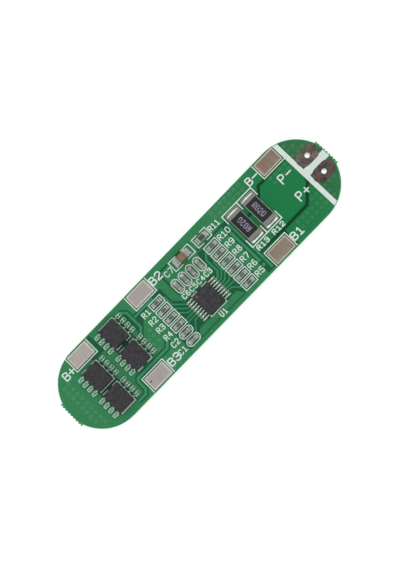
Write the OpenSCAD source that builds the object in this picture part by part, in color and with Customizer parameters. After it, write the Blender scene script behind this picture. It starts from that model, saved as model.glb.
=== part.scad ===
// Protection board for a four-cell lithium pack: a long round-ended circuit board with
// tinned tabs for the cells, two wire pads, four power transistors, a monitor chip, two
// current shunts and the small chip parts around them. All sizes are in millimetres.
// X runs along the board towards the wire pads, Z is up on the component side, and the
// origin is under the middle of the board.

/* [Board] */
// Length between the two snapped-off ends
board_l = 72; // [71.5:0.5:80]
// Width, which is also the diameter of the round ends
board_w = 17.6; // [17.4:0.2:20]
// Thickness of the laminate
board_t = 1.6; // [0.8:0.1:2.4]
// Thickness of the copper and its mask above the laminate
copper_t = 0.05; // [0.03:0.01:0.1]
// Bare rim between the copper and the cut edge
copper_rim = 0.25; // [0.2:0.05:0.5]
// Thickness of the white ink above the copper
ink_t = 0.02; // [0.01:0.01:0.05]
// Half-holes left by the breakaway tab at each end
bite_count = 8; // [4:1:8]
// Diameter of a half-hole
bite_d = 0.5; // [0.3:0.05:0.6]
// Spacing of the half-holes
bite_pitch = 0.72; // [0.65:0.01:0.74]

/* [Cell tabs] */
// Length of a cell tab along the board
tab_l = 5.05; // [4.5:0.05:5.2]
// Width of a cell tab across the board
tab_w = 3.1; // [2.5:0.1:3.2]
// Bare strip between a cell tab and the board's edge
tab_rim = 0.35; // [0.25:0.05:0.6]
// Height of a tinned tab above the laminate
tab_t = 0.1; // [0.08:0.01:0.2]
// Gap between a tab or land and the copper around it
mask_gap = 0.12; // [0.1:0.01:0.15]

/* [Wire pads] */
// Length of a wire pad
wire_pad_l = 5.1; // [4.5:0.1:5.4]
// Width of a wire pad
wire_pad_w = 3.2; // [2.8:0.1:3.4]
// Wire hole in each wire pad
wire_hole_d = 0.95; // [0.7:0.05:1.6]
// Distance of the wire pads from the middle line
wire_pad_y = 2.26; // [2.2:0.02:2.4]
// Distance from the board's end to the wire holes
wire_pad_inset = 3.2; // [3.1:0.1:3.4]
// Thickness of the plated sleeve in a wire hole
plating_t = 0.16; // [0.16:0.01:0.25]

/* [Vias] */
// Copper ring of a via
via_ring_d = 0.72; // [0.6:0.02:0.8]
// Drilled hole of a via
via_drill_d = 0.45; // [0.35:0.05:0.5]
// Dimple where the mask sinks into a via
via_dimple_d = 0.3; // [0.2:0.05:0.3]
// Depth of that dimple
via_dimple_depth = 0.06; // [0.03:0.01:0.15]
// Spacing of the vias in a group
via_pitch = 1.27; // [1.2:0.01:1.27]

/* [Power transistors] */
// Length of a transistor's body across the board
fet_l = 4.95; // [4.8:0.05:5]
// Width of the body between its two rows of leads
fet_w = 3.9; // [3.7:0.1:4]
// Height of the body
fet_h = 1.45; // [1.2:0.05:1.6]
// Gap under the body
fet_standoff = 0.12; // [0.05:0.01:0.2]
// Spacing of the leads
fet_pitch = 1.27; // [1.2:0.01:1.27]
// Distance between the tips of opposite leads
fet_span = 6; // [5.9:0.1:6.2]
// Width of a lead
fet_lead_w = 0.42; // [0.35:0.01:0.5]
// Thickness of a lead
fet_lead_t = 0.2; // [0.15:0.01:0.25]
// Length of a lead's foot
fet_foot = 0.55; // [0.45:0.05:0.6]
// Bevel along the body's edge over the source leads
fet_bevel = 0.25; // [0.1:0.05:0.35]

/* [Monitor chip] */
// Length of the chip's body across the board
chip_l = 5; // [4.9:0.1:5.1]
// Width of the body between its two rows of leads
chip_w = 4.4; // [4.2:0.1:4.5]
// Height of the body
chip_h = 0.95; // [0.8:0.05:1.2]
// Gap under the body
chip_standoff = 0.1; // [0.05:0.01:0.15]
// Spacing of the leads
chip_pitch = 0.65; // [0.62:0.01:0.65]
// Distance between the tips of opposite leads
chip_span = 6.4; // [6.3:0.1:6.6]
// Width of a lead
chip_lead_w = 0.24; // [0.18:0.01:0.28]
// Thickness of a lead
chip_lead_t = 0.15; // [0.1:0.01:0.18]
// Length of a lead's foot
chip_foot = 0.55; // [0.45:0.05:0.6]
// Diameter of the dimple that marks the first lead
chip_dimple_d = 0.7; // [0.4:0.1:0.9]
// Draft of every moulded side, in degrees
mould_draft = 7; // [3:1:10]

/* [Chip parts] */
// Length of a small resistor or capacitor
small_l = 1.6; // [1.5:0.05:1.7]
// Width of a small resistor or capacitor
small_w = 0.85; // [0.75:0.05:0.9]
// Height of a small resistor
resistor_h = 0.45; // [0.35:0.05:0.6]
// Height of a small capacitor
capacitor_h = 0.8; // [0.6:0.05:0.9]
// Length of the metal end on a small part
small_end = 0.32; // [0.25:0.01:0.4]
// Spacing of the rows of small resistors
row_pitch = 2.032; // [2:0.004:2.04]
// Spacing of the upright small capacitors
column_pitch = 2.015; // [2:0.005:2.04]
// Length, width, height and metal end of resistor R11
r11_size = [2.05, 1.25, 0.5, 0.35];
// Length, width, height and metal end of capacitor C7
c7_size = [3.2, 1.6, 1.2, 0.68];
// Length, width, height and metal end of a current shunt
shunt_size = [6.4, 3.15, 0.65, 0.66];
// Distance between the two shunts
shunt_pitch = 4.08; // [3.95:0.01:4.12]
// Thickness of a metal end over the ceramic
end_t = 0.03; // [0.02:0.005:0.05]
// Height of a tinned land above the laminate
land_t = 0.07; // [0.06:0.01:0.09]
// How far a land runs out in front of a lead
toe_land = 0.6; // [0.5:0.02:0.64]
// How far a land runs out from the end of a chip part
end_land = 0.42; // [0.34:0.02:0.44]
// How far a land runs out from the end of a shunt
shunt_end_land = 0.65; // [0.5:0.05:0.7]
// Strip of land that the solder leaves bare along its outer end
land_rim = 0.05; // [0.02:0.01:0.1]

/* [Printing] */
// Stroke of the frames round the cell tabs
frame_stroke = 0.2; // [0.15:0.01:0.22]
// Stroke of the outlines round the parts
outline_stroke = 0.19; // [0.12:0.01:0.22]
// Gap between the lands of a small chip part and the middle of its outline
outline_gap = 0.335; // [0.28:0.005:0.34]
// Width of the white bar between the wire pads and the circuit
bar_w = 1; // [0.7:0.05:1.1]

/* [Hidden] */
$fn = 48;
eps = 0.01;

west = -board_l/2;
east = board_l/2;
north = board_w/2;
south = -board_w/2;
z_top = copper_t + board_t;      // upper face of the laminate
z_land = z_top + land_t;         // upper face of a land, where the parts sit

// Plan sizes of the lands under each kind of lead
fet_land = [1.25, 0.78];
chip_land = [1.2, 0.38];
small_land = [0.78, 0.95];
r11_land = [0.85, 1.3];
c7_land = [1.15, 1.65];
shunt_land = [3.15, 1.3];

// Centre and turn of each power transistor; the source leads face -X before the turn. Last, the
// short side where its printed outline is unbroken: 1 for north, -1 for south, 0 for none
fets = [
    [west + 9.4, 1.52, 0, -1],
    [west + 9.4, -4.34, 0, -1],
    [west + 17.6, 5.06, 180, 1],
    [west + 17.6, -0.83, 180, 0],
];
chip_at = [-0.55, -3.43];

// Small resistors: R1 to R4 in the left column, R5 to R10 in the right one, counted upwards
left_column_x = -8.32;
right_column_x = 7.25;
row_top = 3.3;
function row_y(i) = row_top - i*row_pitch;
resistors = [
    [left_column_x, row_y(0)], [left_column_x, row_y(1)],
    [left_column_x, row_y(2)], [left_column_x, row_y(3)],
    [right_column_x, row_y(5)], [right_column_x, row_y(4)], [right_column_x, row_y(3)],
    [right_column_x, row_y(2)], [right_column_x, row_y(1)], [right_column_x, row_y(0)],
];
r11_at = [7.02, 5.9];

// Small capacitors: C1 and C2 lie along the board, C3 to C6 stand across it
cap_row_y = 2.6;
cap_row_x = 3.0;
capacitors = [
    [left_column_x, row_y(5), 0], [left_column_x, row_y(4), 0],
    [cap_row_x, cap_row_y, 90], [cap_row_x - column_pitch, cap_row_y, 90],
    [cap_row_x - 2*column_pitch, cap_row_y, 90], [cap_row_x - 3*column_pitch, cap_row_y, 90],
];
c7_at = [1.5, 5.98];

// The two shunts, R13 first
shunt_y = 1.6;
shunts = [[east - 17.3 - shunt_pitch, shunt_y], [east - 17.3, shunt_y]];

// Cell tabs: the middle of each along the board and its side, 1 for north and -1 for south
tab_b_plus = [west + 9.9, 1];
tab_b2 = [-9.35, 1];
tab_b_minus = [east - 9.4, 1];
tab_b3 = [west + 17.8, -1];
tab_b1 = [east - 19.92, -1];
tabs = [tab_b_plus, tab_b2, tab_b_minus, tab_b3, tab_b1];
frame_gap = 0.2;
function tab_y(tab) = tab[1]*(north - tab_rim - tab_w/2);

// Groups of vias: first via, then how many along X and down Y
via_groups = [
    [west + 2.75, 4.55, 1, 8], [west + 4.05, 4.55, 1, 9],
    [west + 21.56, -0.7, 1, 3], [west + 22.85, 0.57, 1, 3],
    [west + 21.06, south + 3.18, 1, 1], [west + 22.9, south + 3.18, 1, 1],
    [west + 21.06, south + 0.78, 1, 1], [west + 22.9, south + 0.78, 1, 1],
    [-2.05, south + 2, 1, 1], [0.9, south + 2, 1, 1],
    [east - 24.35, south + 3.6, 1, 2],
    [east - 24.25, north - 0.78, 7, 2],
    [east - 11.35, north - 4.5, 4, 1], [east - 11.35, north - 5.77, 1, 1],
    [east - 8.81, north - 5.77, 2, 1],
    [east - 13.8, south + 3.27, 6, 2], [east - 8.72, south + 4.54, 2, 1],
    [east - 5.1, north - 2, 1, 1], [east - 5.1, north - 3.27, 2, 1],
    [east - 5.1, north - 4.54, 3, 1],
    [east - 5.1, south + 4.54, 3, 1], [east - 5.1, south + 3.27, 1, 2],
];
via_sites = [for (g = via_groups, i = [0:g[2] - 1], j = [0:g[3] - 1])
    [g[0] + i*via_pitch, g[1] - j*via_pitch]];

// ---------------------------------------------------------------- shared shapes

// Unit normal on the left of the step from a to b
function left_of(a, b) = let (d = (b - a)/norm(b - a)) [-d[1], d[0]];

// Mitre vector at corner i of a path: the two neighbouring normals, lengthened to meet
function mitre(path, i) =
    let (last = len(path) - 1)
    i == 0 ? left_of(path[0], path[1]) :
    i == last ? left_of(path[last - 1], path[last]) :
    let (a = left_of(path[i - 1], path[i]), b = left_of(path[i], path[i + 1]))
    (a + b)/(1 + a*b);

// A path whose inner corners are replaced by arcs that start r from the corner
function rounded(path, r, steps) = [
    path[0],
    for (i = [1:len(path) - 2])
        let (
            to_a = (path[i - 1] - path[i])/norm(path[i - 1] - path[i]),
            to_b = (path[i + 1] - path[i])/norm(path[i + 1] - path[i])
        )
        for (k = [0:steps]) let (t = k/steps)
            path[i] + r*(pow(1 - t, 2)*to_a + pow(t, 2)*to_b),
    path[len(path) - 1],
];

// A strip of constant width along a path, with mitred corners
module strip(path, width) {
    last = len(path) - 1;
    polygon(concat(
        [for (i = [0:last]) path[i] + mitre(path, i)*width/2],
        [for (i = [last:-1:0]) path[i] - mitre(path, i)*width/2]
    ));
}

module box2(x0, y0, x1, y1) translate([x0, y0]) square([x1 - x0, y1 - y0]);

module centred(at, size) translate([at[0] - size[0]/2, at[1] - size[1]/2]) square(size);

// Rectangle with round ends, lying along X
module round_bar(l, w) union() {
    square([l - w, w], center = true);
    for (s = [-1, 1]) translate([s*(l - w)/2, 0]) circle(d = w);
}

// Rectangle with its four corners cut at 45 degrees
module cut_corners(l, w, c) polygon([
    [-l/2 + c, -w/2], [l/2 - c, -w/2], [l/2, -w/2 + c], [l/2, w/2 - c],
    [l/2 - c, w/2], [-l/2 + c, w/2], [-l/2, w/2 - c], [-l/2, -w/2 + c],
]);

// Block on z = 0 with all its edges bevelled
module bevelled_block(l, w, h, c) intersection() {
    linear_extrude(h) cut_corners(l, w, c);
    translate([0, w/2, h/2]) rotate([90, 0, 0]) linear_extrude(w) cut_corners(l, h, c);
    translate([-l/2, 0, h/2]) rotate([90, 0, 90]) linear_extrude(l) cut_corners(w, h, c);
}

// Hollow solder fillet: it runs out l along +X from a wall of height h, w wide
module solder_fillet(l, w, h) {
    steps = 5;
    translate([0, w/2, 0]) rotate([90, 0, 0]) linear_extrude(w) polygon(concat(
        [[0, 0]],
        [for (k = [0:steps]) let (a = 90*k/steps) [l*(1 - sin(a)), h*(1 - cos(a))]]
    ));
}

// ---------------------------------------------------------------- the bare board

// Half-holes along the two lines where the board was snapped from its panel
module bites() for (s = [-1, 1], i = [0:bite_count - 1])
    translate([s*(board_l/2 + bite_d/8), (i - (bite_count - 1)/2)*bite_pitch])
        circle(d = bite_d, $fn = 24);

module board_outline() difference() {
    union() {
        round_bar(board_l, board_w);
        square([board_l, (bite_count + 0.1)*bite_pitch], center = true);
    }
    bites();
}

module wire_pad_shape(side) translate([east - wire_pad_inset, side*wire_pad_y])
    round_bar(wire_pad_l, wire_pad_w);

module tab_shape(tab, grow) centred([tab[0], tab_y(tab)], [tab_l + 2*grow, tab_w + 2*grow]);

module circuit_board() color("#0f6a38") difference() {
    translate([0, 0, copper_t]) linear_extrude(board_t) board_outline();
    for (s = [-1, 1]) translate([east - wire_pad_inset, s*wire_pad_y, -eps])
        cylinder(d = wire_hole_d + 2*plating_t, h = z_top + 1);
    for (v = via_sites) translate([v[0], v[1], -eps]) cylinder(d = via_drill_d, h = z_top + 1, $fn = 24);
}

// ---------------------------------------------------------------- copper

// Plan of the lands: [centre x, centre y, size x, size y]
function lead_lands(at, turn, count, pitch, span, land) = [
    for (s = [-1, 1], i = [0:count - 1])
        [at[0] + s*(span/2 + toe_land - land[0]/2), at[1] + (i - (count - 1)/2)*pitch, land[0], land[1]],
];
function end_lands(at, turn, length, land) = [
    for (s = [-1, 1]) let (reach = s*(length/2 + end_land - land[0]/2))
        turn == 0 ? [at[0] + reach, at[1], land[0], land[1]] : [at[0], at[1] + reach, land[1], land[0]],
];
fet_lands = [for (q = fets) each lead_lands(q, q[2], 4, fet_pitch, fet_span, fet_land)];
chip_lands = lead_lands(chip_at, 0, 8, chip_pitch, chip_span, chip_land);
resistor_lands = [for (r = resistors) each end_lands(r, 0, small_l, small_land)];
capacitor_lands = [for (c = capacitors) each end_lands(c, c[2], small_l, small_land)];
r11_lands = end_lands(r11_at, 0, r11_size[0], r11_land);
c7_lands = end_lands(c7_at, 0, c7_size[0], c7_land);
shunt_lands = [for (s = shunts, e = [-1, 1])
    [s[0], s[1] + e*(shunt_size[0]/2 + shunt_end_land - shunt_land[1]/2), shunt_land[0], shunt_land[1]]];
lands = concat(fet_lands, chip_lands, resistor_lands, capacitor_lands, r11_lands, c7_lands, shunt_lands);

module land_shapes(grow) for (p = lands) centred(p, [p[2] + 2*grow, p[3] + 2*grow]);

module component_lands() color("#cfd2cc") translate([0, 0, z_top]) linear_extrude(land_t)
    land_shapes(0);

// Traces: each is its path, then its width
gate_link = [[west + 20.7, 7.0], [west + 21.4, 6.95], [west + 22.15, 6.2], [west + 22.15, 2.25],
    [west + 21, 1.1], [west + 20.7, 1.1]];
sense_link = [[west + 23.9, south + 5.5], [west + 22.85, south + 4.45], [west + 14.65, south + 4.45],
    [west + 14.2, south + 4], [west + 14.2, south + 1.9], [west + 13.5, south + 1.2],
    [west + 11.5, south + 1.2]];
thin = 0.26;
traces = [
    [gate_link, 0.5], [sense_link, 0.55],
    [[[west + 22.6, north - 4.3], [-8.3, north - 4.3]], 0.45],
    [[[-4.1, -1.15], [-4.3, -1.15], [-6.35, 0.9], [-6.35, 2.9], [-6.75, 3.3], [-7.2, 3.3]], thin],
    [[[-4.1, -1.8], [-4.8, -1.8], [-6.6, 0], [-7.2, 0.9]], thin],
    [[[-4.1, -2.45], [-5.3, -2.45], [-6.6, -1.15], [-7.2, -1.15]], thin],
    [[[-4.1, -3.1], [-7.2, -3.1]], thin],
    [[[-4.1, -3.75], [-6.5, -3.75], [-7.2, -4.5]], thin],
    [[[-4.1, -4.4], [-5.3, -4.4], [-7.2, -6.4]], thin],
    [[[3, -1.8], [3.6, -1.8], [4.5, -0.9], [4.5, 2.2], [5.6, 3.3], [6.2, 3.3]], 0.4],
    [[[3, -2.45], [3.95, -2.45], [5.2, -1.2], [5.2, 0.75], [5.7, 1.27], [6.2, 1.27]], thin],
    [[[3, -3.1], [4.3, -3.1], [5.45, -1.95], [5.45, -1.1], [6.2, -0.9]], thin],
    [[[3, -3.75], [4.85, -3.75], [5.7, -2.9], [6.2, -2.9]], thin],
    [[[3, -4.4], [6.2, -4.6]], thin],
    [[[3, -5.05], [4.15, -5.05], [5.75, -6.65], [6.2, -6.65]], thin],
    [[[east - 24.35, 2.6], [east - 24.35, -5.2]], 0.55],
    [[[east - 23.4, 3.9], [east - 23.4, -8]], 0.5],
];
module trace_shapes(grow) for (t = traces) strip(t[0], t[1] + 2*grow);

// Where the copper was etched away, apart from the lanes round the traces
module cleared() {
    // between the two rows of leads under the transistors
    box2(west + 7.1, -7.1, west + 11.7, 4.15);
    box2(west + 15.3, -3.6, west + 19.9, 7.65);
    // round the battery tab at the left end
    strip([[west + 10.8, 4.58], [west + 13.4, 4.58], [west + 13.4, north]], 0.75);
    // inside the link between the two right-hand gates
    polygon([[west + 19.9, 7.35], [west + 21.4, 7.35], [west + 22.6, 6.35], [west + 22.6, 4.15],
        [-12.4, 4.15], [-12.4, 2.9], [west + 21, 0.45], [west + 19.9, 0.45], [west + 19.9, 1.6],
        [west + 21.1, 1.6], [west + 21.15, 6.35], [west + 19.9, 6.35]]);
    // the columns of small parts and the way to the monitor chip
    polygon([[-10.1, 4.95], [-5.85, 4.95], [-5.85, 1.4], [-4.3, -0.15], [-4.3, -0.5], [3.9, -0.5],
        [4.1, 4.3], [9.1, 4.3], [9.1, -7.7], [5.4, -7.7], [4.3, -6.25], [-5.9, -6.25],
        [-6.6, -6.95], [-6.6, -7.8], [-10.1, -7.8]]);
    // the frame of the middle capacitors and the strip left of it
    strip([[-4, 1.1], [-4, 7.1], [4.6, 7.1]], 0.42);
    strip([[-6.6, -7.74], [9.1, -7.74]], 0.22);
    // the two long traces left of the shunts
    box2(east - 24.8, -8.3, east - 23, 4.95);
    strip([[4.6, 4.72], [east - 23, 4.72]], 0.4);
    // between the two sides of the shunts and round the return pad's copper
    strip([[east - 23.1, 2.3], [east - 16.7, 2.3], [east - 15.6, 3.4], [east - 14.05, 4.98],
        [east - 6.2, 4.98]], 0.62);
    strip([[east - 23.1, -4.45], [east - 10.2, -4.45], [east - 6.3, -0.85]], 0.66);
    strip([[east - 6.9, -0.95], [east - 5.6, 0], [east, 0]], 0.6);
    // beside the lower tab at the shunts
    box2(east - 16.95, south, east - 16.65, -4.4);
    box2(east - 23.05, south, east - 22.75, -4.4);
}

module via_rings() for (v = via_sites) translate(v) circle(d = via_ring_d, $fn = 24);

module pour_shapes() difference() {
    round_bar(board_l - 2*copper_rim, board_w - 2*copper_rim);
    cleared();
    trace_shapes(0.3);
    land_shapes(mask_gap);
    for (tab = tabs) tab_shape(tab, mask_gap);
    for (s = [-1, 1]) wire_pad_shape(s);
}

module copper_pours_top() color("#1c8a4a") translate([0, 0, z_top]) linear_extrude(copper_t)
    difference() {
        pour_shapes();
        via_rings();
    }

module signal_traces() color("#2b9a5a") translate([0, 0, z_top]) linear_extrude(copper_t)
    difference() {
        trace_shapes(0);
        land_shapes(0);
        via_rings();
    }

module copper_shapes() {
    pour_shapes();
    trace_shapes(0);
}

// Underside: one pour for the pack's plus side and one for its minus side
module copper_pours_bottom() color("#1c8a4a") linear_extrude(copper_t) difference() {
    round_bar(board_l - 2*copper_rim, board_w - 2*copper_rim);
    strip([[west + 24.2, north], [west + 24.2, -3.2], [west + 25.2, -4.2], [-3.5, -4.2],
        [-2.5, -3.2], [7.6, -3.2], [8.6, -4.2], [east - 12, -4.2], [east - 7.5, 0], [east, 0]], 0.8);
    for (s = [-1, 1]) wire_pad_shape(s);
    via_rings();
}

// One plated hole with a ring on each face and a dimple where the mask sinks in
module via() rotate_extrude($fn = 24) polygon([
    [0, via_dimple_depth], [via_dimple_d/2, 0], [via_ring_d/2, 0], [via_ring_d/2, copper_t],
    [via_drill_d/2, copper_t], [via_drill_d/2, z_top], [via_ring_d/2, z_top],
    [via_ring_d/2, z_top + copper_t + ink_t], [via_dimple_d/2, z_top + copper_t + ink_t],
    [0, z_top + copper_t + ink_t - via_dimple_depth],
]);
module vias() color("#3aa368") for (v = via_sites) translate(v) via();

module tab_pad(tab) color("#b5aca6") translate([0, 0, z_top]) linear_extrude(tab_t)
    tab_shape(tab, 0);
module tab_b_plus() tab_pad(tab_b_plus);
module tab_b2() tab_pad(tab_b2);
module tab_b_minus() tab_pad(tab_b_minus);
module tab_b3() tab_pad(tab_b3);
module tab_b1() tab_pad(tab_b1);

// Wire pad: the same land on both faces, joined by the plated wall of the hole
module wire_pad(side) color("#5f4a47") difference() {
    union() {
        linear_extrude(copper_t) wire_pad_shape(side);
        translate([0, 0, z_top]) linear_extrude(copper_t) wire_pad_shape(side);
        translate([east - wire_pad_inset, side*wire_pad_y, 0])
            cylinder(d = wire_hole_d + 2*plating_t, h = z_top + copper_t);
    }
    translate([east - wire_pad_inset, side*wire_pad_y, -eps]) cylinder(d = wire_hole_d, h = z_top + 1);
}
module wire_pad_p_minus() wire_pad(1);
module wire_pad_p_plus() wire_pad(-1);

// ---------------------------------------------------------------- printing

// Three-sided frame round a cell tab, open at the board's edge
module tab_frame(tab) {
    x = tab_l/2 + frame_gap + frame_stroke/2;
    inner = north - tab_rim - tab_w - frame_gap - frame_stroke/2;
    edge = north - frame_stroke;
    strip([[tab[0] - x, tab[1]*edge], [tab[0] - x, tab[1]*inner], [tab[0] + x, tab[1]*inner],
        [tab[0] + x, tab[1]*edge]], frame_stroke);
}

// Outlines round a small resistor, square, and round a small capacitor, with round ends
outline_l = small_l + 2*(end_land + outline_gap);
outline_w = small_land[1] + 2*outline_gap;
module outline_box(at) translate([at[0], at[1]]) difference() {
    square([outline_l + outline_stroke, outline_w + outline_stroke], center = true);
    square([outline_l - outline_stroke, outline_w - outline_stroke], center = true);
}

module outline_stadium(at, turn) translate([at[0], at[1]]) rotate(turn) difference() {
    round_bar(outline_l + outline_stroke, outline_w + outline_stroke);
    round_bar(outline_l - outline_stroke, outline_w - outline_stroke);
}

// Outline under a transistor, broken in the middle of its short sides but for the unbroken one
module fet_outline(q) translate([q[0], q[1]]) {
    x = fet_w/2 - 0.05;
    y = fet_l/2 + 0.13;
    gap = 1.2;
    for (s = [-1, 1]) strip([[s*gap/2, y], [s*x, y], [s*x, -y], [s*gap/2, -y]], outline_stroke);
    if (q[3] != 0) strip([[-x, q[3]*y], [x, q[3]*y]], outline_stroke);
}

// Corner brackets at the two ends of a chip part: their length, their width and the gap between
r11_brackets = [3.62, 2.12, 0.75];
c7_brackets = [5.4, 2.25, 1.4];
module end_brackets(at, size) translate([at[0], at[1]]) for (s = [-1, 1])
    strip([[s*size[2]/2, size[1]/2], [s*size[0]/2, size[1]/2],
        [s*size[0]/2, -size[1]/2], [s*size[2]/2, -size[1]/2]], outline_stroke);

// Frame round the pair of shunts: a bar across each end with three uprights
module shunt_frame() {
    x0 = shunts[0][0] - shunt_pitch/2 + 0.02;
    x1 = shunts[1][0] + shunt_pitch/2 - 0.1;
    for (s = [-1, 1]) {
        y = shunt_y + s*(shunt_size[0]/2 + 1.05);
        foot = shunt_y + s*(shunt_size[0]/2 - 0.9);
        strip([[x0, foot], [x0, y], [x1, y], [x1, foot]], frame_stroke + 0.04);
        strip([[(x0 + x1)/2, y], [(x0 + x1)/2, foot]], frame_stroke + 0.08);
    }
}

// Two dashes above the monitor chip and a bracket round its lower side
module chip_marks() translate([chip_at[0], chip_at[1]]) {
    x = chip_w/2 - 0.1;
    upper = chip_l/2 + 0.18;
    lower = -chip_l/2 - 0.37;
    for (s = [-1, 1]) strip([[s*0.6, upper], [s*x, upper]], outline_stroke);
    strip([[-x, lower + 0.47], [-x, lower], [x, lower], [x, lower + 0.47]], outline_stroke);
}

// White bar that closes off the wire pads, and its branch between them
module bar() difference() {
    union() {
        intersection() {
            box2(east - 6.67, south, east - 6.67 + bar_w, north);
            round_bar(board_l - copper_rim, board_w - copper_rim);
        }
        box2(east - 6.67 + bar_w, -0.85, east - 0.3, 0.85);
    }
    for (s = [-1, 1]) translate([east - wire_pad_inset, s*wire_pad_y])
        round_bar(wire_pad_l + 0.06, wire_pad_w + 0.06);
}

module print_shapes() {
    for (tab = tabs) tab_frame(tab);
    for (q = fets) fet_outline(q);
    for (r = resistors) outline_box(r);
    for (c = capacitors) outline_stadium(c, c[2]);
    end_brackets(r11_at, r11_brackets);
    end_brackets(c7_at, c7_brackets);
    shunt_frame();
    bar();
    chip_marks();
}

// The ink is a film of one thickness that steps down from the copper to the bare laminate
module silkscreen() color("#e6efe8") {
    translate([0, 0, z_top + copper_t]) linear_extrude(ink_t) difference() {
        intersection() {
            print_shapes();
            copper_shapes();
        }
        via_rings();
    }
    translate([0, 0, z_top]) linear_extrude(ink_t) difference() {
        print_shapes();
        copper_shapes();
        via_rings();
    }
}

// ---------------------------------------------------------------- moulded packages

// Moulded body: two tapered halves that meet at the parting line half-way up
module moulded_body(w, l, h, bevel) {
    d = h/2*tan(mould_draft);
    intersection() {
        translate([0, l/2, 0]) rotate([90, 0, 0]) linear_extrude(l) polygon([
            [-w/2 + d, 0], [w/2 - d, 0], [w/2, h/2], [w/2 - d, h],
            [-w/2 + d + bevel, h], [-w/2 + d, h - bevel], [-w/2, h/2],
        ]);
        translate([-w/2, 0, 0]) rotate([90, 0, 90]) linear_extrude(w) polygon([
            [-l/2 + d, 0], [l/2 - d, 0], [l/2, h/2], [l/2 - d, h], [-l/2 + d, h], [-l/2, h/2],
        ]);
    }
}

// One gull-wing lead on the +X side: out of the body, down and out again on its foot
module gull_wing(body_w, exit_z, span, foot, t, lead_w) {
    knee = body_w/2 + 0.28;
    heel = span/2 - foot;
    path = rounded([[body_w/2 - 0.3, exit_z], [knee, exit_z], [heel, t/2], [span/2, t/2]], t, 3);
    translate([0, lead_w/2, 0]) rotate([90, 0, 0]) linear_extrude(lead_w) strip(path, t);
}

module lead_rows(count, pitch, body_w, exit_z, span, foot, t, lead_w)
    for (turn = [0, 180], i = [0:count - 1]) rotate(turn)
        translate([0, (i - (count - 1)/2)*pitch, 0])
            gull_wing(body_w, exit_z, span, foot, t, lead_w);

module fet_leads() lead_rows(4, fet_pitch, fet_w, fet_standoff + fet_h/2, fet_span, fet_foot,
    fet_lead_t, fet_lead_w);
module chip_leads() lead_rows(8, chip_pitch, chip_w, chip_standoff + chip_h/2, chip_span,
    chip_foot, chip_lead_t, chip_lead_w);

module fet_body() difference() {
    translate([0, 0, fet_standoff]) moulded_body(fet_w, fet_l, fet_h, fet_bevel);
    fet_leads();
}

module chip_body() difference() {
    translate([0, 0, chip_standoff]) moulded_body(chip_w, chip_l, chip_h, 0.001);
    chip_leads();
    translate([-chip_w/2 + 0.8, chip_l/2 - 0.7, chip_standoff + chip_h - 0.06])
        cylinder(d = chip_dimple_d, h = 1);
}

module at_fet(i) translate([fets[i][0], fets[i][1], z_land]) rotate(fets[i][2]) children();
module transistor_q1_body() color("#2c2b2e") at_fet(0) fet_body();
module transistor_q1_leads() color("#c9ccd0") at_fet(0) fet_leads();
module transistor_q2_body() color("#2c2b2e") at_fet(1) fet_body();
module transistor_q2_leads() color("#c9ccd0") at_fet(1) fet_leads();
module transistor_q3_body() color("#2c2b2e") at_fet(2) fet_body();
module transistor_q3_leads() color("#c9ccd0") at_fet(2) fet_leads();
module transistor_q4_body() color("#2c2b2e") at_fet(3) fet_body();
module transistor_q4_leads() color("#c9ccd0") at_fet(3) fet_leads();
module monitor_chip_body() color("#2e2d30") translate([chip_at[0], chip_at[1], z_land]) chip_body();
module monitor_chip_leads() color("#c9ccd0") translate([chip_at[0], chip_at[1], z_land]) chip_leads();

// ---------------------------------------------------------------- chip parts

// Ceramic of a chip part of the given [length, width, height, metal end]
module ceramic(size) translate([0, 0, end_t])
    bevelled_block(size[0] - 2*end_t, size[1] - 2*end_t, size[2] - 2*end_t, 0.03);

// The two metal cups that close the ends of the ceramic
module metal_ends(size) for (s = [-1, 1]) difference() {
    intersection() {
        bevelled_block(size[0], size[1], size[2], 0.05);
        translate([s*(size[0]/2 - size[3]/2), 0, size[2]/2])
            cube([size[3], size[1] + 1, size[2] + 1], center = true);
    }
    ceramic(size);
}

module place(at, turn) translate([at[0], at[1], z_land]) rotate(turn) children();
resistor_size = [small_l, small_w, resistor_h, small_end];
capacitor_size = [small_l, small_w, capacitor_h, small_end];

module resistor(i) color("#343236") place(resistors[i], 0) ceramic(resistor_size);
module resistor_r1() resistor(0);
module resistor_r2() resistor(1);
module resistor_r3() resistor(2);
module resistor_r4() resistor(3);
module resistor_r5() resistor(4);
module resistor_r6() resistor(5);
module resistor_r7() resistor(6);
module resistor_r8() resistor(7);
module resistor_r9() resistor(8);
module resistor_r10() resistor(9);
module resistor_r11() color("#232225") place(r11_at, 0) ceramic(r11_size);
module resistor_ends() color("#d5d6d8") {
    for (r = resistors) place(r, 0) metal_ends(resistor_size);
    place(r11_at, 0) metal_ends(r11_size);
}

module capacitor(i) color("#9b8f82") place(capacitors[i], capacitors[i][2]) ceramic(capacitor_size);
module capacitor_c1() capacitor(0);
module capacitor_c2() capacitor(1);
module capacitor_c3() capacitor(2);
module capacitor_c4() capacitor(3);
module capacitor_c5() capacitor(4);
module capacitor_c6() capacitor(5);
module capacitor_c7() color("#9a7350") place(c7_at, 0) ceramic(c7_size);
module capacitor_ends() color("#d5d6d8") {
    for (c = capacitors) place(c, c[2]) metal_ends(capacitor_size);
    place(c7_at, 0) metal_ends(c7_size);
}

module shunt_r13_element() color("#2b292c") place(shunts[0], 90) ceramic(shunt_size);
module shunt_r13_ends() color("#d5d6d8") place(shunts[0], 90) metal_ends(shunt_size);
module shunt_r12_element() color("#2b292c") place(shunts[1], 90) ceramic(shunt_size);
module shunt_r12_ends() color("#d5d6d8") place(shunts[1], 90) metal_ends(shunt_size);

// ---------------------------------------------------------------- solder

// Fillets at both ends of a chip part, from its metal ends to the rims of its lands
module end_fillets(size, land, h, w) for (turn = [0, 180]) rotate(turn)
    translate([size[0]/2, 0, 0]) solder_fillet(land - land_rim, w, h);

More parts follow.
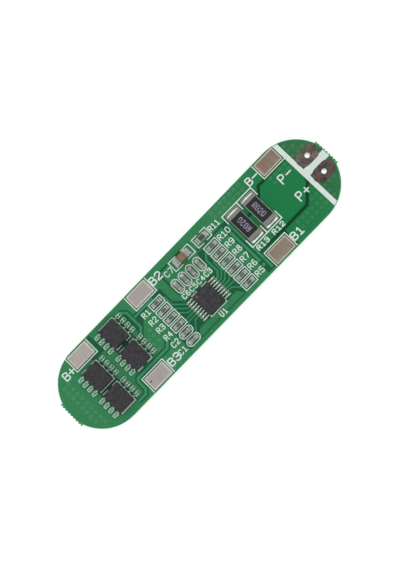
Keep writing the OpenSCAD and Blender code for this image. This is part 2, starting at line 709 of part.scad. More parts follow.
// Toe fillets in front of every lead
module toe_fillets(count, pitch, span, h, w) for (turn = [0, 180], i = [0:count - 1])
    rotate(turn) translate([span/2, (i - (count - 1)/2)*pitch, 0])
        solder_fillet(toe_land - land_rim, w, h);

module solder_transistors() color("#dfe1e2") for (i = [0:3]) at_fet(i)
    toe_fillets(4, fet_pitch, fet_span, fet_lead_t, 0.6);
module solder_monitor_chip() color("#dfe1e2") place(chip_at, 0)
    toe_fillets(8, chip_pitch, chip_span, chip_lead_t, 0.3);
module solder_shunts() color("#dfe1e2") for (s = shunts) place(s, 90)
    end_fillets(shunt_size, shunt_end_land, 0.5, 3);
module solder_resistors() color("#dfe1e2") {
    for (r = resistors) place(r, 0) end_fillets(resistor_size, end_land, 0.3, 0.75);
    place(r11_at, 0) end_fillets(r11_size, end_land, 0.35, 1.15);
}
module solder_capacitors() color("#dfe1e2") {
    for (c = capacitors) place(c, c[2]) end_fillets(capacitor_size, end_land, 0.45, 0.75);
    place(c7_at, 0) end_fillets(c7_size, end_land, 0.6, 1.5);
}

circuit_board();
copper_pours_top();
signal_traces();
copper_pours_bottom();
vias();
component_lands();
silkscreen();
tab_b_plus();
tab_b2();
tab_b_minus();
tab_b3();
tab_b1();
wire_pad_p_minus();
wire_pad_p_plus();
monitor_chip_body();
monitor_chip_leads();
transistor_q1_body();
transistor_q1_leads();
transistor_q2_body();
transistor_q2_leads();
transistor_q3_body();
transistor_q3_leads();
transistor_q4_body();
transistor_q4_leads();
shunt_r12_element();
shunt_r12_ends();
shunt_r13_element();
shunt_r13_ends();
resistor_r1();
resistor_r2();
resistor_r3();
resistor_r4();
resistor_r5();
resistor_r6();
resistor_r7();
resistor_r8();
resistor_r9();
resistor_r10();
resistor_r11();
resistor_ends();
capacitor_c1();
capacitor_c2();
capacitor_c3();
capacitor_c4();
capacitor_c5();
capacitor_c6();
capacitor_c7();
capacitor_ends();
solder_transistors();
solder_monitor_chip();
solder_shunts();
solder_resistors();
solder_capacitors();
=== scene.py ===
"""Battery management board: camera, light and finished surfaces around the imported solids.

The file follows the board as it is made: laminate, copper and mask, ink, tabs, wire pads,
packages, chip parts and solder. Lengths are in millimetres until a mesh is written.
"""

import math

import bpy
import numpy as np
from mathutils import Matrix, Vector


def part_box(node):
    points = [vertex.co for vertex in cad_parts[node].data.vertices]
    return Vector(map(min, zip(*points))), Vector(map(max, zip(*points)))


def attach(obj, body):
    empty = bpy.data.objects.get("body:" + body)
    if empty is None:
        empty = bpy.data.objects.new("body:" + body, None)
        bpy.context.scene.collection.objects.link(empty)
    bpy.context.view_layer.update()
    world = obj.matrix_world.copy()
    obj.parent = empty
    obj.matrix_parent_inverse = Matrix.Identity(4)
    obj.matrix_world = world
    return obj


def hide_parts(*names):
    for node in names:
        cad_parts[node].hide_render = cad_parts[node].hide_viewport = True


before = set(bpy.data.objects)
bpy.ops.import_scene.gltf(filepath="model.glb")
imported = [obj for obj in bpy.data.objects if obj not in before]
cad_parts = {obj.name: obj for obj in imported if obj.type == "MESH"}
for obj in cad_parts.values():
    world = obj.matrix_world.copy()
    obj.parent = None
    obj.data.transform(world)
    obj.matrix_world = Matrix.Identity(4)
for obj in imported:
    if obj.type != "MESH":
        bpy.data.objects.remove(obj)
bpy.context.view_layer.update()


def show(name, data):
    """An object in the scene for a camera, a lamp or a mesh."""
    made = bpy.data.objects.new(name, data)
    bpy.context.scene.collection.objects.link(made)
    return made


# ------------------------------------------------------------------ camera and studio
# The camera looks straight down on the board, which lies slantwise in view. Four soft lamps
# stand round it, as in a light tent, with a pale room behind them. Places here are in metres.

camera = show("camera", bpy.data.cameras.new("camera"))
camera.location = (0.00389, -0.01247, 0.1489)
camera.rotation_euler = [math.radians(angle) for angle in (2.245, 4.386, -45.743)]
camera.data.lens = 47.77
camera.data.sensor_width = 36
camera.data.clip_start, camera.data.clip_end = 0.005, 10
bpy.context.scene.camera = camera
bpy.context.scene.view_settings.view_transform = "Standard"


LAMP_OUT, LAMP_UP, LAMP_SIZE, WATTS = 0.38, 0.36, 0.42, 0.68
for side, (x, y) in {"west": (-1, 0), "north": (0, 1), "east": (1, 0), "south": (0, -1)}.items():
    light = bpy.data.lights.new(side + "_lamp", "AREA")
    light.size, light.energy = LAMP_SIZE, WATTS
    lamp = show(side + "_lamp", light)
    lamp.location = (x * LAMP_OUT, y * LAMP_OUT, LAMP_UP)
    lamp.rotation_euler = (-lamp.location).to_track_quat("-Z", "Y").to_euler()


def add(tree, kind, settings=None, **inputs):
    """A shader node: settings are set on it, an input is a value to write or an output to link.
    An input's name has _ for a space, and in1 is the input numbered 1."""
    made = tree.nodes.new("ShaderNode" + kind)
    for name, value in (settings or {}).items():
        setattr(made, name, value)
    for name, value in inputs.items():
        numbered = name[:2] == "in" and name[2:].isdigit()
        socket = made.inputs[int(name[2:])] if numbered else made.inputs[name.replace("_", " ")]
        if isinstance(value, bpy.types.NodeSocket):
            tree.links.new(value, socket)
        else:
            socket.default_value = value
    return made


def paint(red, green, blue):
    """A colour written as it looks, 0 to 255, turned into light values."""
    c = np.array([red, green, blue]) / 255
    light = np.where(c <= 0.04045, c / 12.92, ((c + 0.055) / 1.055) ** 2.4)
    return (*light.tolist(), 1.0)


def seen_directly(tree):
    """1 where the camera, a gloss or a clear material sees this surface, 0 for its light."""
    path = add(tree, "LightPath")
    seen = add(tree, "Math", {"operation": "MAXIMUM"},
               in0=path.outputs["Is Camera Ray"], in1=path.outputs["Is Glossy Ray"])
    return add(tree, "Math", {"operation": "MAXIMUM"},
               in0=seen.outputs[0], in1=path.outputs["Is Transmission Ray"]).outputs[0]


# The room is darker overhead than at the horizon, so flat metal looks grey and its slopes bright.
ZENITH, HORIZON = 0.22, 1.15
world = bpy.data.worlds.new("room")
bpy.context.scene.world = world
world.use_nodes = True
tree = world.node_tree
tree.nodes.clear()
WHITE = (1, 1, 1, 1)
direction = add(tree, "SeparateXYZ", Vector=add(tree, "TexCoord").outputs["Generated"])
room_level = add(tree, "MapRange", Value=direction.outputs["Z"], From_Min=0, From_Max=1,
                 To_Min=HORIZON, To_Max=ZENITH)
room_light = add(tree, "Background", Color=WHITE, Strength=room_level.outputs[0])
room_white = add(tree, "Background", Color=WHITE, Strength=1)
room_mix = add(tree, "MixShader", Fac=add(tree, "LightPath").outputs["Is Camera Ray"],
               in1=room_light.outputs[0], in2=room_white.outputs[0])
add(tree, "OutputWorld", Surface=room_mix.outputs[0])

FLOOR_HALF, FLOOR_DROP = 2, 2e-5               # the sheet of paper, a hair under the board
floor_mesh = bpy.data.meshes.new("floor")
floor_mesh.from_pydata([(x * FLOOR_HALF, y * FLOOR_HALF, -FLOOR_DROP)
                        for x, y in ((-1, -1), (1, -1), (1, 1), (-1, 1))], [], [(0, 1, 2, 3)])
floor = show("floor", floor_mesh)
floor_finish = bpy.data.materials.new("floor_paper")
floor_finish.use_nodes = True
tree = floor_finish.node_tree
tree.nodes.clear()
matt = add(tree, "BsdfDiffuse", Color=(0.9, 0.9, 0.9, 1))
# Under the board the paper shows only through the wire holes, and is as white there as around it.
PATCH = 0.0012                                 # how far the white reaches from a hole's centre
pad_low, pad_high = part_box("wire_pad_p_minus")
hole_x, hole_y = (pad_low.x + pad_high.x) / 2, (pad_low.y + pad_high.y) / 2
spot = add(tree, "SeparateXYZ", Vector=add(tree, "TexCoord").outputs["Object"]).outputs
under_x = add(tree, "Math", {"operation": "COMPARE"}, in0=spot["X"], in1=hole_x, in2=PATCH).outputs[0]
under_y = add(tree, "Math", {"operation": "COMPARE"}, in0=spot["Y"], in1=0.0, in2=hole_y + PATCH).outputs[0]
under = add(tree, "Math", {"operation": "MULTIPLY"}, in0=under_x, in1=under_y).outputs[0]
level = add(tree, "MapRange", Value=under, To_Min=0.22, To_Max=0.95).outputs[0]
strength = add(tree, "Math", {"operation": "MULTIPLY"}, in0=seen_directly(tree), in1=level)
glow = add(tree, "Emission", Color=WHITE, Strength=strength.outputs[0])
both = add(tree, "AddShader", in0=matt.outputs[0], in1=glow.outputs[0])
add(tree, "OutputMaterial", Surface=both.outputs[0])
floor_mesh.materials.append(floor_finish)


# ------------------------------------------------------------------ laminate
# The board itself: glass cloth in resin, 1.6 mm thick, routed to a long round-ended shape
# and snapped from its panel at both ends. Green mask covers both faces; the cut edge is bare.

def mottle_group():
    """Uneven tone and relief at two scales, for any surface. Broad and Fine run from 0 to 1;
    Height is their mix for a bump."""
    group = bpy.data.node_groups.new("mottle", "ShaderNodeTree")
    for name, default in (("Broad Scale", 200.0), ("Fine Scale", 6000.0), ("Fine Share", 0.5)):
        group.interface.new_socket(name, in_out="INPUT",
                                   socket_type="NodeSocketFloat").default_value = default
    for name in ("Broad", "Fine", "Height"):
        group.interface.new_socket(name, in_out="OUTPUT", socket_type="NodeSocketFloat")
    take = group.nodes.new("NodeGroupInput").outputs
    place = add(group, "TexCoord").outputs["Object"]
    broad = add(group, "TexNoise", Vector=place, Scale=take["Broad Scale"], Detail=3).outputs[0]
    fine = add(group, "TexNoise", Vector=place, Scale=take["Fine Scale"], Detail=2).outputs[0]
    height = add(group, "Mix", {"data_type": "FLOAT"}, in0=take["Fine Share"], in2=broad, in3=fine)
    give = group.nodes.new("NodeGroupOutput")
    for name, value in (("Broad", broad), ("Fine", fine), ("Height", height.outputs[0])):
        group.links.new(value, give.inputs[name])
    return group


mottle = mottle_group()


class Finish:
    """A material with one Principled shader. Plain values sit on its own sockets."""

    def __init__(self, name, colour, roughness=0.5, metallic=0.0, specular=0.3):
        self.material = bpy.data.materials.new(name)
        self.material.use_nodes = True
        self.tree = self.material.node_tree
        self.shader = self.tree.nodes["Principled BSDF"]
        self.colour = paint(*colour)
        self.material.diffuse_color = self.colour
        for name, value in {"Base Color": self.colour, "Roughness": roughness, "Metallic": metallic,
                            "Specular IOR Level": specular}.items():
            self.shader.inputs[name].default_value = value

    def link(self, output, name):
        self.tree.links.new(output, self.shader.inputs[name])

    def add(self, kind, settings=None, **inputs):
        return add(self.tree, kind, settings, **inputs)

    def math(self, operation, a, b=0.0):
        return self.add("Math", {"operation": operation}, in0=a, in1=b).outputs[0]

    def blend(self, share, below, above, most=1.0, kind="MIX"):
        """Colour between two, by a share from 0 to 1 that is first scaled down to the most allowed."""
        if most < 1:
            share = self.math("MULTIPLY", share, most)
        return self.add("Mix", {"data_type": "RGBA", "blend_type": kind}, in0=share, in6=below,
                        in7=above).outputs[2]

    def ramp(self, value, low, high):
        """0 up to low, 1 from high on, smooth between."""
        return self.add("MapRange", {"interpolation_type": "SMOOTHSTEP"}, Value=value,
                        From_Min=low, From_Max=high).outputs[0]

    def mottle(self, broad, fine, share=0.5):
        """The shared unevenness, at this many cells a metre."""
        made = self.tree.nodes.new("ShaderNodeGroup")
        made.node_tree = mottle
        for name, value in (("Broad Scale", broad), ("Fine Scale", fine), ("Fine Share", share)):
            made.inputs[name].default_value = value
        return made.outputs

    def place(self):
        """The Object coordinates, in metres."""
        return self.add("TexCoord").outputs["Object"]

    def axis(self, letter):
        return self.add("SeparateXYZ", Vector=self.place()).outputs[letter]

    def wave(self, letter, rate):
        """Sine along an axis, in radians a metre."""
        return self.math("SINE", self.math("MULTIPLY", self.axis(letter), rate))

    def distance(self, place, centre):
        return self.add("VectorMath", {"operation": "DISTANCE"}, in0=place, in1=centre).outputs["Value"]

    def bump(self, height, depth):
        """Relief of that depth in metres."""
        self.link(self.add("Bump", Height=height, Distance=depth).outputs[0], "Normal")

    def close(self, tone, grain, low, high, relief, depth):
        """Joins up the tone, a roughness that goes from low to high with the grain, and the relief."""
        self.link(tone, "Base Color")
        self.link(self.add("MapRange", Value=grain, To_Min=low, To_Max=high).outputs[0], "Roughness")
        self.bump(relief, depth)
        return self


def tint(colour, share):
    """The same hue, lighter (over 1) or darker (under 1)."""
    return (*[min(1.0, c * share) for c in colour[:3]], 1.0)


def dress(finish, *names):
    """Puts a finish on solids that keep their own shape."""
    for name in names:
        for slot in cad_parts[name].material_slots:
            slot.material = finish.material


# Painted shade: the middle of the place where the mask's green is painted deeper for less glare.
LESS_GLARE_MIDDLE = (0.0235, -0.001, 0.0016)         # between the shunts and P-, in metres


def less_glare_shade(made, tone, deeper):
    """Painted shade: round one place the green is painted deeper, for the less glare there, up to 5 mm
    from there and as usual from 13 mm on. Past the bar at the wire pads it is duller."""
    tone = made.blend(made.ramp(made.distance(made.place(), LESS_GLARE_MIDDLE), 0.013, 0.005), tone, deeper)
    past_bar = made.ramp(made.axis("X"), 0.0285, 0.0305)
    return made.blend(past_bar, tone, (1, 0.78, 0.76, 1), kind="MULTIPLY")


laminate = Finish("laminate_mask", (20, 82, 52), roughness=0.34, specular=0.25)
board_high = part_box("circuit_board")[1]
END_RADIUS = board_high.y
END_CENTRE = board_high.x - board_high.y
WARP, WEFT, PLIES = 11400.0, 14200.0, 31400.0  # threads of 0.55 and 0.44 mm, plies of 0.2 mm
uneven = laminate.mottle(180, 7000)
weave = laminate.math("MULTIPLY", laminate.wave("X", WARP), laminate.wave("Y", WEFT))
weave_share = laminate.ramp(weave, -0.6, 0.6)
face_colour = laminate.blend(uneven["Broad"], tint(laminate.colour, 0.86), tint(laminate.colour, 1.16))
face_colour = laminate.blend(weave_share, face_colour, tint(laminate.colour, 1.5), most=0.22)
# Painted shade: a deeper green round one place, for less glare on the mask there.
face_colour = less_glare_shade(laminate, face_colour, paint(0, 58, 27))
# Light leaks in from the cut edge over the last 0.4 mm, measured from the line that joins the
# centres of the two round ends.
beyond = laminate.math("SUBTRACT", laminate.math("ABSOLUTE", laminate.axis("X")), END_CENTRE)
beyond = laminate.math("POWER", laminate.math("MAXIMUM", beyond, 0.0), 2.0)
from_line = laminate.math("ADD", beyond, laminate.math("POWER", laminate.axis("Y"), 2.0))
rim = laminate.ramp(laminate.math("SQRT", from_line), END_RADIUS - 4e-4, END_RADIUS - 5e-5)
face_colour = laminate.blend(rim, face_colour, paint(70, 140, 100))
# The cut edge: plies of cloth in clear resin, with broken fibres.
plies = laminate.ramp(laminate.wave("Z", PLIES), -0.8, 0.8)
resin = laminate.blend(plies, paint(160, 202, 160), paint(194, 230, 192))
fibre_place = laminate.add("Mapping", Vector=laminate.place(), Scale=(1, 1, 0.2)).outputs[0]
fibres = laminate.add("TexNoise", Vector=fibre_place, Scale=9000, Detail=3).outputs[0]
resin = laminate.blend(laminate.ramp(fibres, 0.35, 0.7), resin, paint(148, 184, 144))
facing = laminate.add("SeparateXYZ", Vector=laminate.add("NewGeometry").outputs["Normal"]).outputs["Z"]
flat = laminate.ramp(laminate.math("ABSOLUTE", facing), 0.4, 0.7)
relief = laminate.math("ADD", uneven["Height"], laminate.math("MULTIPLY", weave_share, 0.4))
laminate.close(laminate.blend(flat, resin, face_colour), flat, 0.75, 0.34, relief, 4e-6)
dress(laminate, "circuit_board")


# ------------------------------------------------------------------ copper under the mask
# Pours and traces are copper foil with the same green mask over it, so they look lighter
# than the bare laminate. The mask has a fine orange-peel gloss and holds a little dust.

def masked(name, colour, spread=0.12, deeper=(0.3, 0.93, 0.72)):
    """Green mask over metal: broad tone, fine grain, sparse pale specks and a fine relief. Deeper
    holds the shares of red, green and blue that are left in the painted shade of less glare."""
    made = Finish(name, colour, roughness=0.3, specular=0.25)
    uneven = made.mottle(160, 3400, 0.75)
    tone = made.blend(uneven["Broad"], tint(made.colour, 1 - spread), tint(made.colour, 1 + spread))
    tone = made.blend(made.ramp(uneven["Fine"], 0.35, 0.75), tone, tint(made.colour, 1.18))
    cells = made.add("TexVoronoi", Scale=900, Vector=made.place()).outputs[0]
    speck = made.math("SUBTRACT", 1.0, made.ramp(cells, 0.03, 0.06))
    # Painted shade: a deeper green round one place, for less glare on the mask there.
    tone = less_glare_shade(made, tone, (*[c * share for c, share in zip(made.colour, deeper)], 1))
    tone = made.blend(speck, tone, paint(150, 190, 165), most=0.35)
    return made.close(tone, uneven["Broad"], 0.25, 0.38, uneven["Height"], 3e-6)


pour_mask = masked("mask_over_copper", (44, 117, 74))
trace_mask = masked("mask_over_trace", (52, 128, 88), spread=0.06)
dress(pour_mask, "copper_pours_top", "copper_pours_bottom")
dress(trace_mask, "signal_traces")

# Plated vias: a copper ring under the mask on each face, with a dark dimple in the middle.
via_mask = masked("mask_over_via", (66, 132, 90), deeper=(0.75, 0.82, 0.75))
via_low, via_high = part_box("vias")
halfway = (via_low.z + via_high.z) / 2
from_face = via_mask.math("SUBTRACT", halfway, via_mask.math(
    "ABSOLUTE", via_mask.math("SUBTRACT", via_mask.axis("Z"), halfway)))
ring_colour = via_mask.shader.inputs["Base Color"].links[0].from_socket
sunk = via_mask.ramp(from_face, 4e-6, 1.8e-5)
via_mask.link(via_mask.blend(sunk, ring_colour, paint(26, 82, 52)), "Base Color")
dress(via_mask, "vias")


# ------------------------------------------------------------------ printed ink
# White ink screened over the mask: the frames and bars are in the solids. The marks beside
# the parts and tabs are single strokes of the same ink, with round ends and a soft shoulder.

ink = Finish("white_ink", (205, 215, 210), roughness=0.55, specular=0.2)
ink_uneven = ink.mottle(900, 9000, 0.6)
ink_tone = ink.blend(ink.ramp(ink_uneven["Fine"], 0.55, 0.85), ink.colour, paint(178, 202, 190))
ink.link(ink.blend(ink.ramp(ink_uneven["Broad"], 0.3, 0.8), ink_tone, paint(198, 213, 206)), "Base Color")
ink.bump(ink_uneven["Height"], 4e-6)
dress(ink, "silkscreen")


def loft(rings, wrap=False):
    """A shell from a stack of closed rings, an array of rows by columns by 3: four-sided faces
    join each ring to the next, and a flat face closes each end unless the stack wraps round."""
    rows, columns = rings.shape[:2]
    i = np.arange(rows if wrap else rows - 1)[:, None]
    j = np.arange(columns)[None, :]
    after, beside = (i + 1) % rows, (j + 1) % columns
    quads = np.stack([i * columns + j, i * columns + beside, after * columns + beside,
                      after * columns + j], -1).reshape(-1, 4)
    ends = [] if wrap else [j[:, ::-1], j + (rows - 1) * columns]
    return rings.reshape(-1, 3), [quads, *ends]


def copies(shell, places):
    """The shell at each place, a row of x, y, z and a turn in degrees about Z."""
    points, faces = shell
    places = np.asarray(places, float)
    turn = np.radians(places[:, 3])[:, None]
    x = points[:, 0] * np.cos(turn) - points[:, 1] * np.sin(turn) + places[:, 0:1]
    y = points[:, 0] * np.sin(turn) + points[:, 1] * np.cos(turn) + places[:, 1:2]
    z = points[:, 2] + places[:, 2:3]
    start = (np.arange(len(places)) * len(points))[:, None, None]
    return (np.stack([x, y, z], -1).reshape(-1, 3),
            [(f[None] + start).reshape(-1, f.shape[1]) for f in faces])


def piece(name, shells, slot, finish, *replaced, smooth=40):
    """One mesh object from shells in millimetres. Edges sharper than the angle stay crisp, and a flat
    face keeps its flat shading beside its rounded edges."""
    points, faces, start = [], [], 0
    for shell_points, shell_faces in shells:
        points.append(shell_points)
        for part in shell_faces:
            faces += (part + start).tolist()
        start += len(shell_points)
    mesh = bpy.data.meshes.new(name)
    mesh.from_pydata((np.concatenate(points) * 0.001).tolist(), [], faces)
    mesh.polygons.foreach_set("use_smooth", np.ones(len(faces), bool))
    mesh.set_sharp_from_angle(angle=math.radians(smooth))
    mesh.materials.append(finish.material)
    mesh.update()
    made = show(name, mesh)
    flats = made.modifiers.new("flats_stay_flat", "WEIGHTED_NORMAL")
    flats.weight, flats.keep_sharp = 90, True
    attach(made, "root")
    if replaced:
        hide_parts(*replaced)
    return made


def box(node):
    """Lowest and highest corner of a solid, in millimetres."""
    low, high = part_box(node)
    return np.array(low) * 1000, np.array(high) * 1000


def stroke(path, width, foot, top):
    """One pass of ink: a flat profile with soft shoulders carried along the path. Each corner is an
    arc of a parabola that starts 0.6 widths from it, or less on a short step, and the half-width
    shrinks as a circle at both ends. An open stroke falls 0.0015 on its way, so that where it
    crosses itself the two surfaces stay apart."""
    path = np.array(path, float)
    closed = np.allclose(path[0], path[-1])
    corner = path[:-1] if closed else path[1:-1]
    before = np.roll(corner, 1, 0) if closed else path[:-2]
    after = np.roll(corner, -1, 0) if closed else path[2:]
    back, on = before - corner, after - corner
    back_length, on_length = np.linalg.norm(back, axis=1), np.linalg.norm(on, axis=1)
    start = np.minimum(0.6 * width, 0.45 * np.minimum(back_length, on_length))[:, None]
    t = np.linspace(0, 1, 5)[None, :, None]
    arcs = (corner[:, None] + (start * back / back_length[:, None])[:, None] * (1 - t) ** 2
            + (start * on / on_length[:, None])[:, None] * t ** 2).reshape(-1, 2)
    if closed:
        path = arcs
        step = np.roll(path, -1, 0) - np.roll(path, 1, 0)
    else:
        path = np.concatenate([path[:1], arcs, path[-1:]])
        step = np.gradient(path, axis=0)
    step /= np.linalg.norm(step, axis=1)[:, None]
    half = np.full(len(path), width / 2)
    if not closed:
        angle = np.radians([75, 50, 25])
        out, narrow = np.sin(angle) * width / 2, np.cos(angle) * width / 2
        path = np.concatenate([path[0] - step[0] * out[:, None], path,
                               path[-1] + step[-1] * out[::-1, None]])
        step = np.concatenate([np.repeat(step[:1], 3, 0), step, np.repeat(step[-1:], 3, 0)])
        half = np.concatenate([narrow, half, narrow[::-1]])
    side = np.stack([-step[:, 1], step[:, 0]], -1)
    share = np.array([1, 0.97, 0.8, -0.8, -0.97, -1])
    lift = np.array([0, 0.7, 1, 1, 0.7, 0])
    plan = path[:, None] + side[:, None] * (half[:, None] * share)[..., None]
    fall = np.linspace(0, 0.0 if closed else 0.0015, len(path))[:, None]
    z = foot + (top - fall - foot) * lift
    return loft(np.concatenate([plan, z[..., None]], -1), wrap=closed)


# Strokes of each character, in a box one wide and one high.
LETTERS = {
    "B": [[(0, 0), (0, 1), (0.66, 1), (0.95, 0.9), (0.95, 0.63), (0.62, 0.53), (0, 0.53)],
          [(0.62, 0.53), (1, 0.4), (1, 0.1), (0.7, 0), (0, 0)]],
    "P": [[(0, 0), (0, 1), (0.7, 1), (1, 0.9), (1, 0.57), (0.7, 0.47), (0, 0.47)]],
    "R": [[(0, 0), (0, 1), (0.7, 1), (1, 0.9), (1, 0.6), (0.7, 0.5), (0, 0.5)], [(0.5, 0.5), (1, 0)]],
    "C": [[(1, 0.8), (0.8, 1), (0.2, 1), (0, 0.8), (0, 0.2), (0.2, 0), (0.8, 0), (1, 0.2)]],
    "U": [[(0, 1), (0, 0.2), (0.2, 0), (0.8, 0), (1, 0.2), (1, 1)]],
    "+": [[(0, 0.5), (1, 0.5)], [(0.5, 0), (0.5, 1)]],
    "-": [[(0, 0.5), (1, 0.5)]],
    "0": [[(0, 0.5), (0, 0.85), (0.25, 1), (0.75, 1), (1, 0.85), (1, 0.15), (0.75, 0), (0.25, 0),
           (0, 0.15), (0, 0.5)]],
    "1": [[(0.15, 0.82), (0.5, 1), (0.5, 0)], [(0.1, 0), (0.9, 0)]],
    "2": [[(0, 0.8), (0.2, 1), (0.8, 1), (1, 0.8), (1, 0.6), (0, 0.12), (0, 0), (1, 0)]],
    "3": [[(0, 0.85), (0.2, 1), (0.8, 1), (1, 0.85), (1, 0.65), (0.75, 0.53), (0.3, 0.53)],
          [(0.75, 0.53), (1, 0.4), (1, 0.15), (0.8, 0), (0.2, 0), (0, 0.15)]],
    "4": [[(0.72, 0), (0.72, 1), (0, 0.3), (1, 0.3)]],
    "5": [[(0.95, 1), (0.08, 1), (0, 0.58), (0.7, 0.62), (1, 0.45), (1, 0.15), (0.75, 0), (0.2, 0),
           (0, 0.15)]],
    "6": [[(0.9, 0.92), (0.7, 1), (0.25, 1), (0, 0.75), (0, 0.15), (0.25, 0), (0.75, 0), (1, 0.15),
           (1, 0.42), (0.75, 0.57), (0.2, 0.57), (0, 0.42)]],
    "7": [[(0, 1), (1, 1), (1, 0.85), (0.35, 0)]],
    "8": [[(0.5, 0.54), (0.1, 0.65), (0.1, 0.9), (0.3, 1), (0.7, 1), (0.9, 0.9), (0.9, 0.65), (0.5, 0.54)],
          [(0.5, 0.54), (0, 0.42), (0, 0.12), (0.25, 0), (0.75, 0), (1, 0.12), (1, 0.42), (0.5, 0.54)]],
}
LETTERS["9"] = [[(1 - x, 1 - y) for x, y in path] for path in LETTERS["6"]]      # turned half round


def words(text, at, height, width, gap, stroke_width, foot, top, turn=0):
    """The text centred on a point: each character is width by height over its strokes' outsides, and
    its second stroke lies 0.002 lower, so that the two stay apart where they cross."""
    cell = np.array([width - stroke_width, height - stroke_width])
    start = -(len(text) * width + (len(text) - 1) * gap) / 2
    c, s = math.cos(math.radians(turn)), math.sin(math.radians(turn))
    shells = []
    for k, letter in enumerate(text):
        left = start + k * (width + gap) + stroke_width / 2
        for order, path in enumerate(LETTERS[letter]):
            x, y = (np.array(path) * cell + (left, -cell[1] / 2)).T
            plan = np.stack([at[0] + c * x - s * y, at[1] + s * x + c * y], -1)
            shells.append(stroke(plan, stroke_width, foot, top - 0.002 * order))
    return shells


ink_top = box("silkscreen")[1][2]
ink_foot = box("copper_pours_top")[1][2] - 0.052     # just inside the laminate beside the copper


def label(name, text, at, height, width, gap, stroke_width):
    """A mark of white ink on the board."""
    piece(name, words(text, at, height, width, gap, stroke_width, ink_foot, ink_top), "white_ink", ink)


def middle(node):
    """Centre of a solid in plan."""
    low, high = box(node)
    return (low[:2] + high[:2]) / 2


# Terminal marks, each beside its tab or wire pad.
TERMINALS = {
    "b_plus": ("B", (-31.15, 6.0), 1.85), "b2": ("B2", (-5.0, 6.87), 1.8),
    "b3": ("B3", (-13.7, -6.85), 1.8), "b1": ("B1", (20.5, -6.85), 1.8),
    "b_minus": ("B", (21.28, 6.87), 1.8), "p_minus": ("P", (26.1, 2.57), 2.05),
    "p_plus": ("P", (26.1, -2.25), 2.05),
}
for terminal, (text, at, height) in TERMINALS.items():
    label("mark_" + terminal, text, at, height, 1.34, 0.18, 0.3)
for terminal, at in {"b_plus": (-29.7, 6.0), "p_plus": (27.85, -2.3)}.items():
    label("sign_" + terminal, "+", at, 1.42, 1.42, 0, 0.3)
for terminal, at in {"b_minus": (22.85, 6.88), "p_minus": (27.85, 2.57)}.items():
    label("sign_" + terminal, "-", at, 1.5, 1.45, 0, 0.3)

# Part marks: text, the part, the way from its middle, then height, width, gap and stroke.
PART_MARKS = [
    *[(f"R{n}", f"resistor_r{n}", (-3.0, 0), 1.3, 0.84, 0.18, 0.21) for n in range(1, 5)],
    *[(f"C{n}", f"capacitor_c{n}", (-3.0, 0.02), 1.3, 0.84, 0.18, 0.21) for n in (1, 2)],
    *[(f"R{n}", f"resistor_r{n}", (2.9, 0), 1.3, 0.9, 0.18, 0.21) for n in range(5, 10)],
    ("R10", "resistor_r10", (3.35, 0.05), 1.3, 0.9, 0.15, 0.21),
    ("R11", "resistor_r11", (3.35, 0), 1.3, 0.8, 0.12, 0.21),
    *[(f"C{n}", f"capacitor_c{n}", (-0.02, -2.33), 1.2, 0.84, 0.15, 0.23) for n in range(3, 7)],
    ("C7", "capacitor_c7", (-3.85, -0.2), 1.3, 0.9, 0.2, 0.19),
    ("U1", "monitor_chip_body", (0.08, -3.87), 1.35, 0.8, 0.15, 0.24),
    ("R13", "shunt_r13_element", (-0.12, -5.15), 1.15, 0.94, 0.13, 0.24),
    ("R12", "shunt_r12_element", (0.08, -5.15), 1.15, 0.94, 0.13, 0.24),
]
for text, part, way, *sizes in PART_MARKS:
    label("mark_" + text.lower(), text, middle(part) + way, *sizes)


# ------------------------------------------------------------------ cell tabs
# Five flat lands for the nickel strips, copper with a thin coat of tin that stands a little
# higher in a bead along its rim. On B- and B1 the coat is thin and the copper shows brown.

def field(half_x, half_y, corner, rows, columns):
    """Points x and y over a rounded rectangle, spaced as a sine so that they are close at its rim,
    and the distance of each from the nearest edge. The half width follows a circle at the corners,
    of which at least 0.02 is left at both ends."""
    x = half_x * np.sin(np.linspace(-1, 1, rows) * math.pi / 2)[:, None]
    inside = np.clip(corner - (half_x - np.abs(x)), 0, corner)
    width = half_y - corner + np.sqrt(np.maximum(corner ** 2 - inside ** 2, 0.02 ** 2))
    y = width * np.sin(np.linspace(1, -1, columns) * math.pi / 2)
    return x + 0 * y, y, np.minimum(half_x - np.abs(x), width - np.abs(y))


def coating(x, y, z, low):
    """A solid under the surface z over those points, with a flat underside at low."""
    top = np.stack([x, y, z], -1)
    return loft(np.concatenate([top, top[:, [-1, 0]] * (1, 1, 0) + (0, 0, low)], 1))


def tinned_slab(low, high):
    """With e the distance from the nearest edge, the top rises as 1 - exp(-e/0.04), with a bead near
    e = 0.2 and a slow ripple."""
    x, y, edge = field(*(high[:2] - low[:2]) / 2, corner=0.16, rows=61, columns=41)
    bead = 0.72 + 0.28 * np.exp(-((edge - 0.2) / 0.13) ** 2)
    ripple = 0.05 * np.sin(2.1 * x + 0.7) * np.sin(2.9 * y + 0.4 * x) * (edge > 0.3)
    z = low[2] + (high[2] - low[2]) * (1 - np.exp(-edge / 0.04)) * np.clip(bead + ripple, 0, 1)
    points, faces = coating(x, y, z, low[2])
    return points + (*(low[:2] + high[:2]) / 2, 0), faces


def keep(made, name, values):
    """Stores a number for each point of a piece, for its material to read."""
    layer = made.data.attributes.new(name, "FLOAT", "POINT")
    layer.data.foreach_set("value", np.asarray(values, np.float32))


def rim_highlight_share(points, low, high, width):
    """A bell over the width inside the outline of the box: 1 in its middle, 0.37 at both sides."""
    x, y, _ = points.T
    edge = np.minimum(np.minimum(x - low[0], high[0] - x), np.minimum(y - low[1], high[1] - y))
    return np.exp(-((edge - width / 2) / (width / 2)) ** 2)


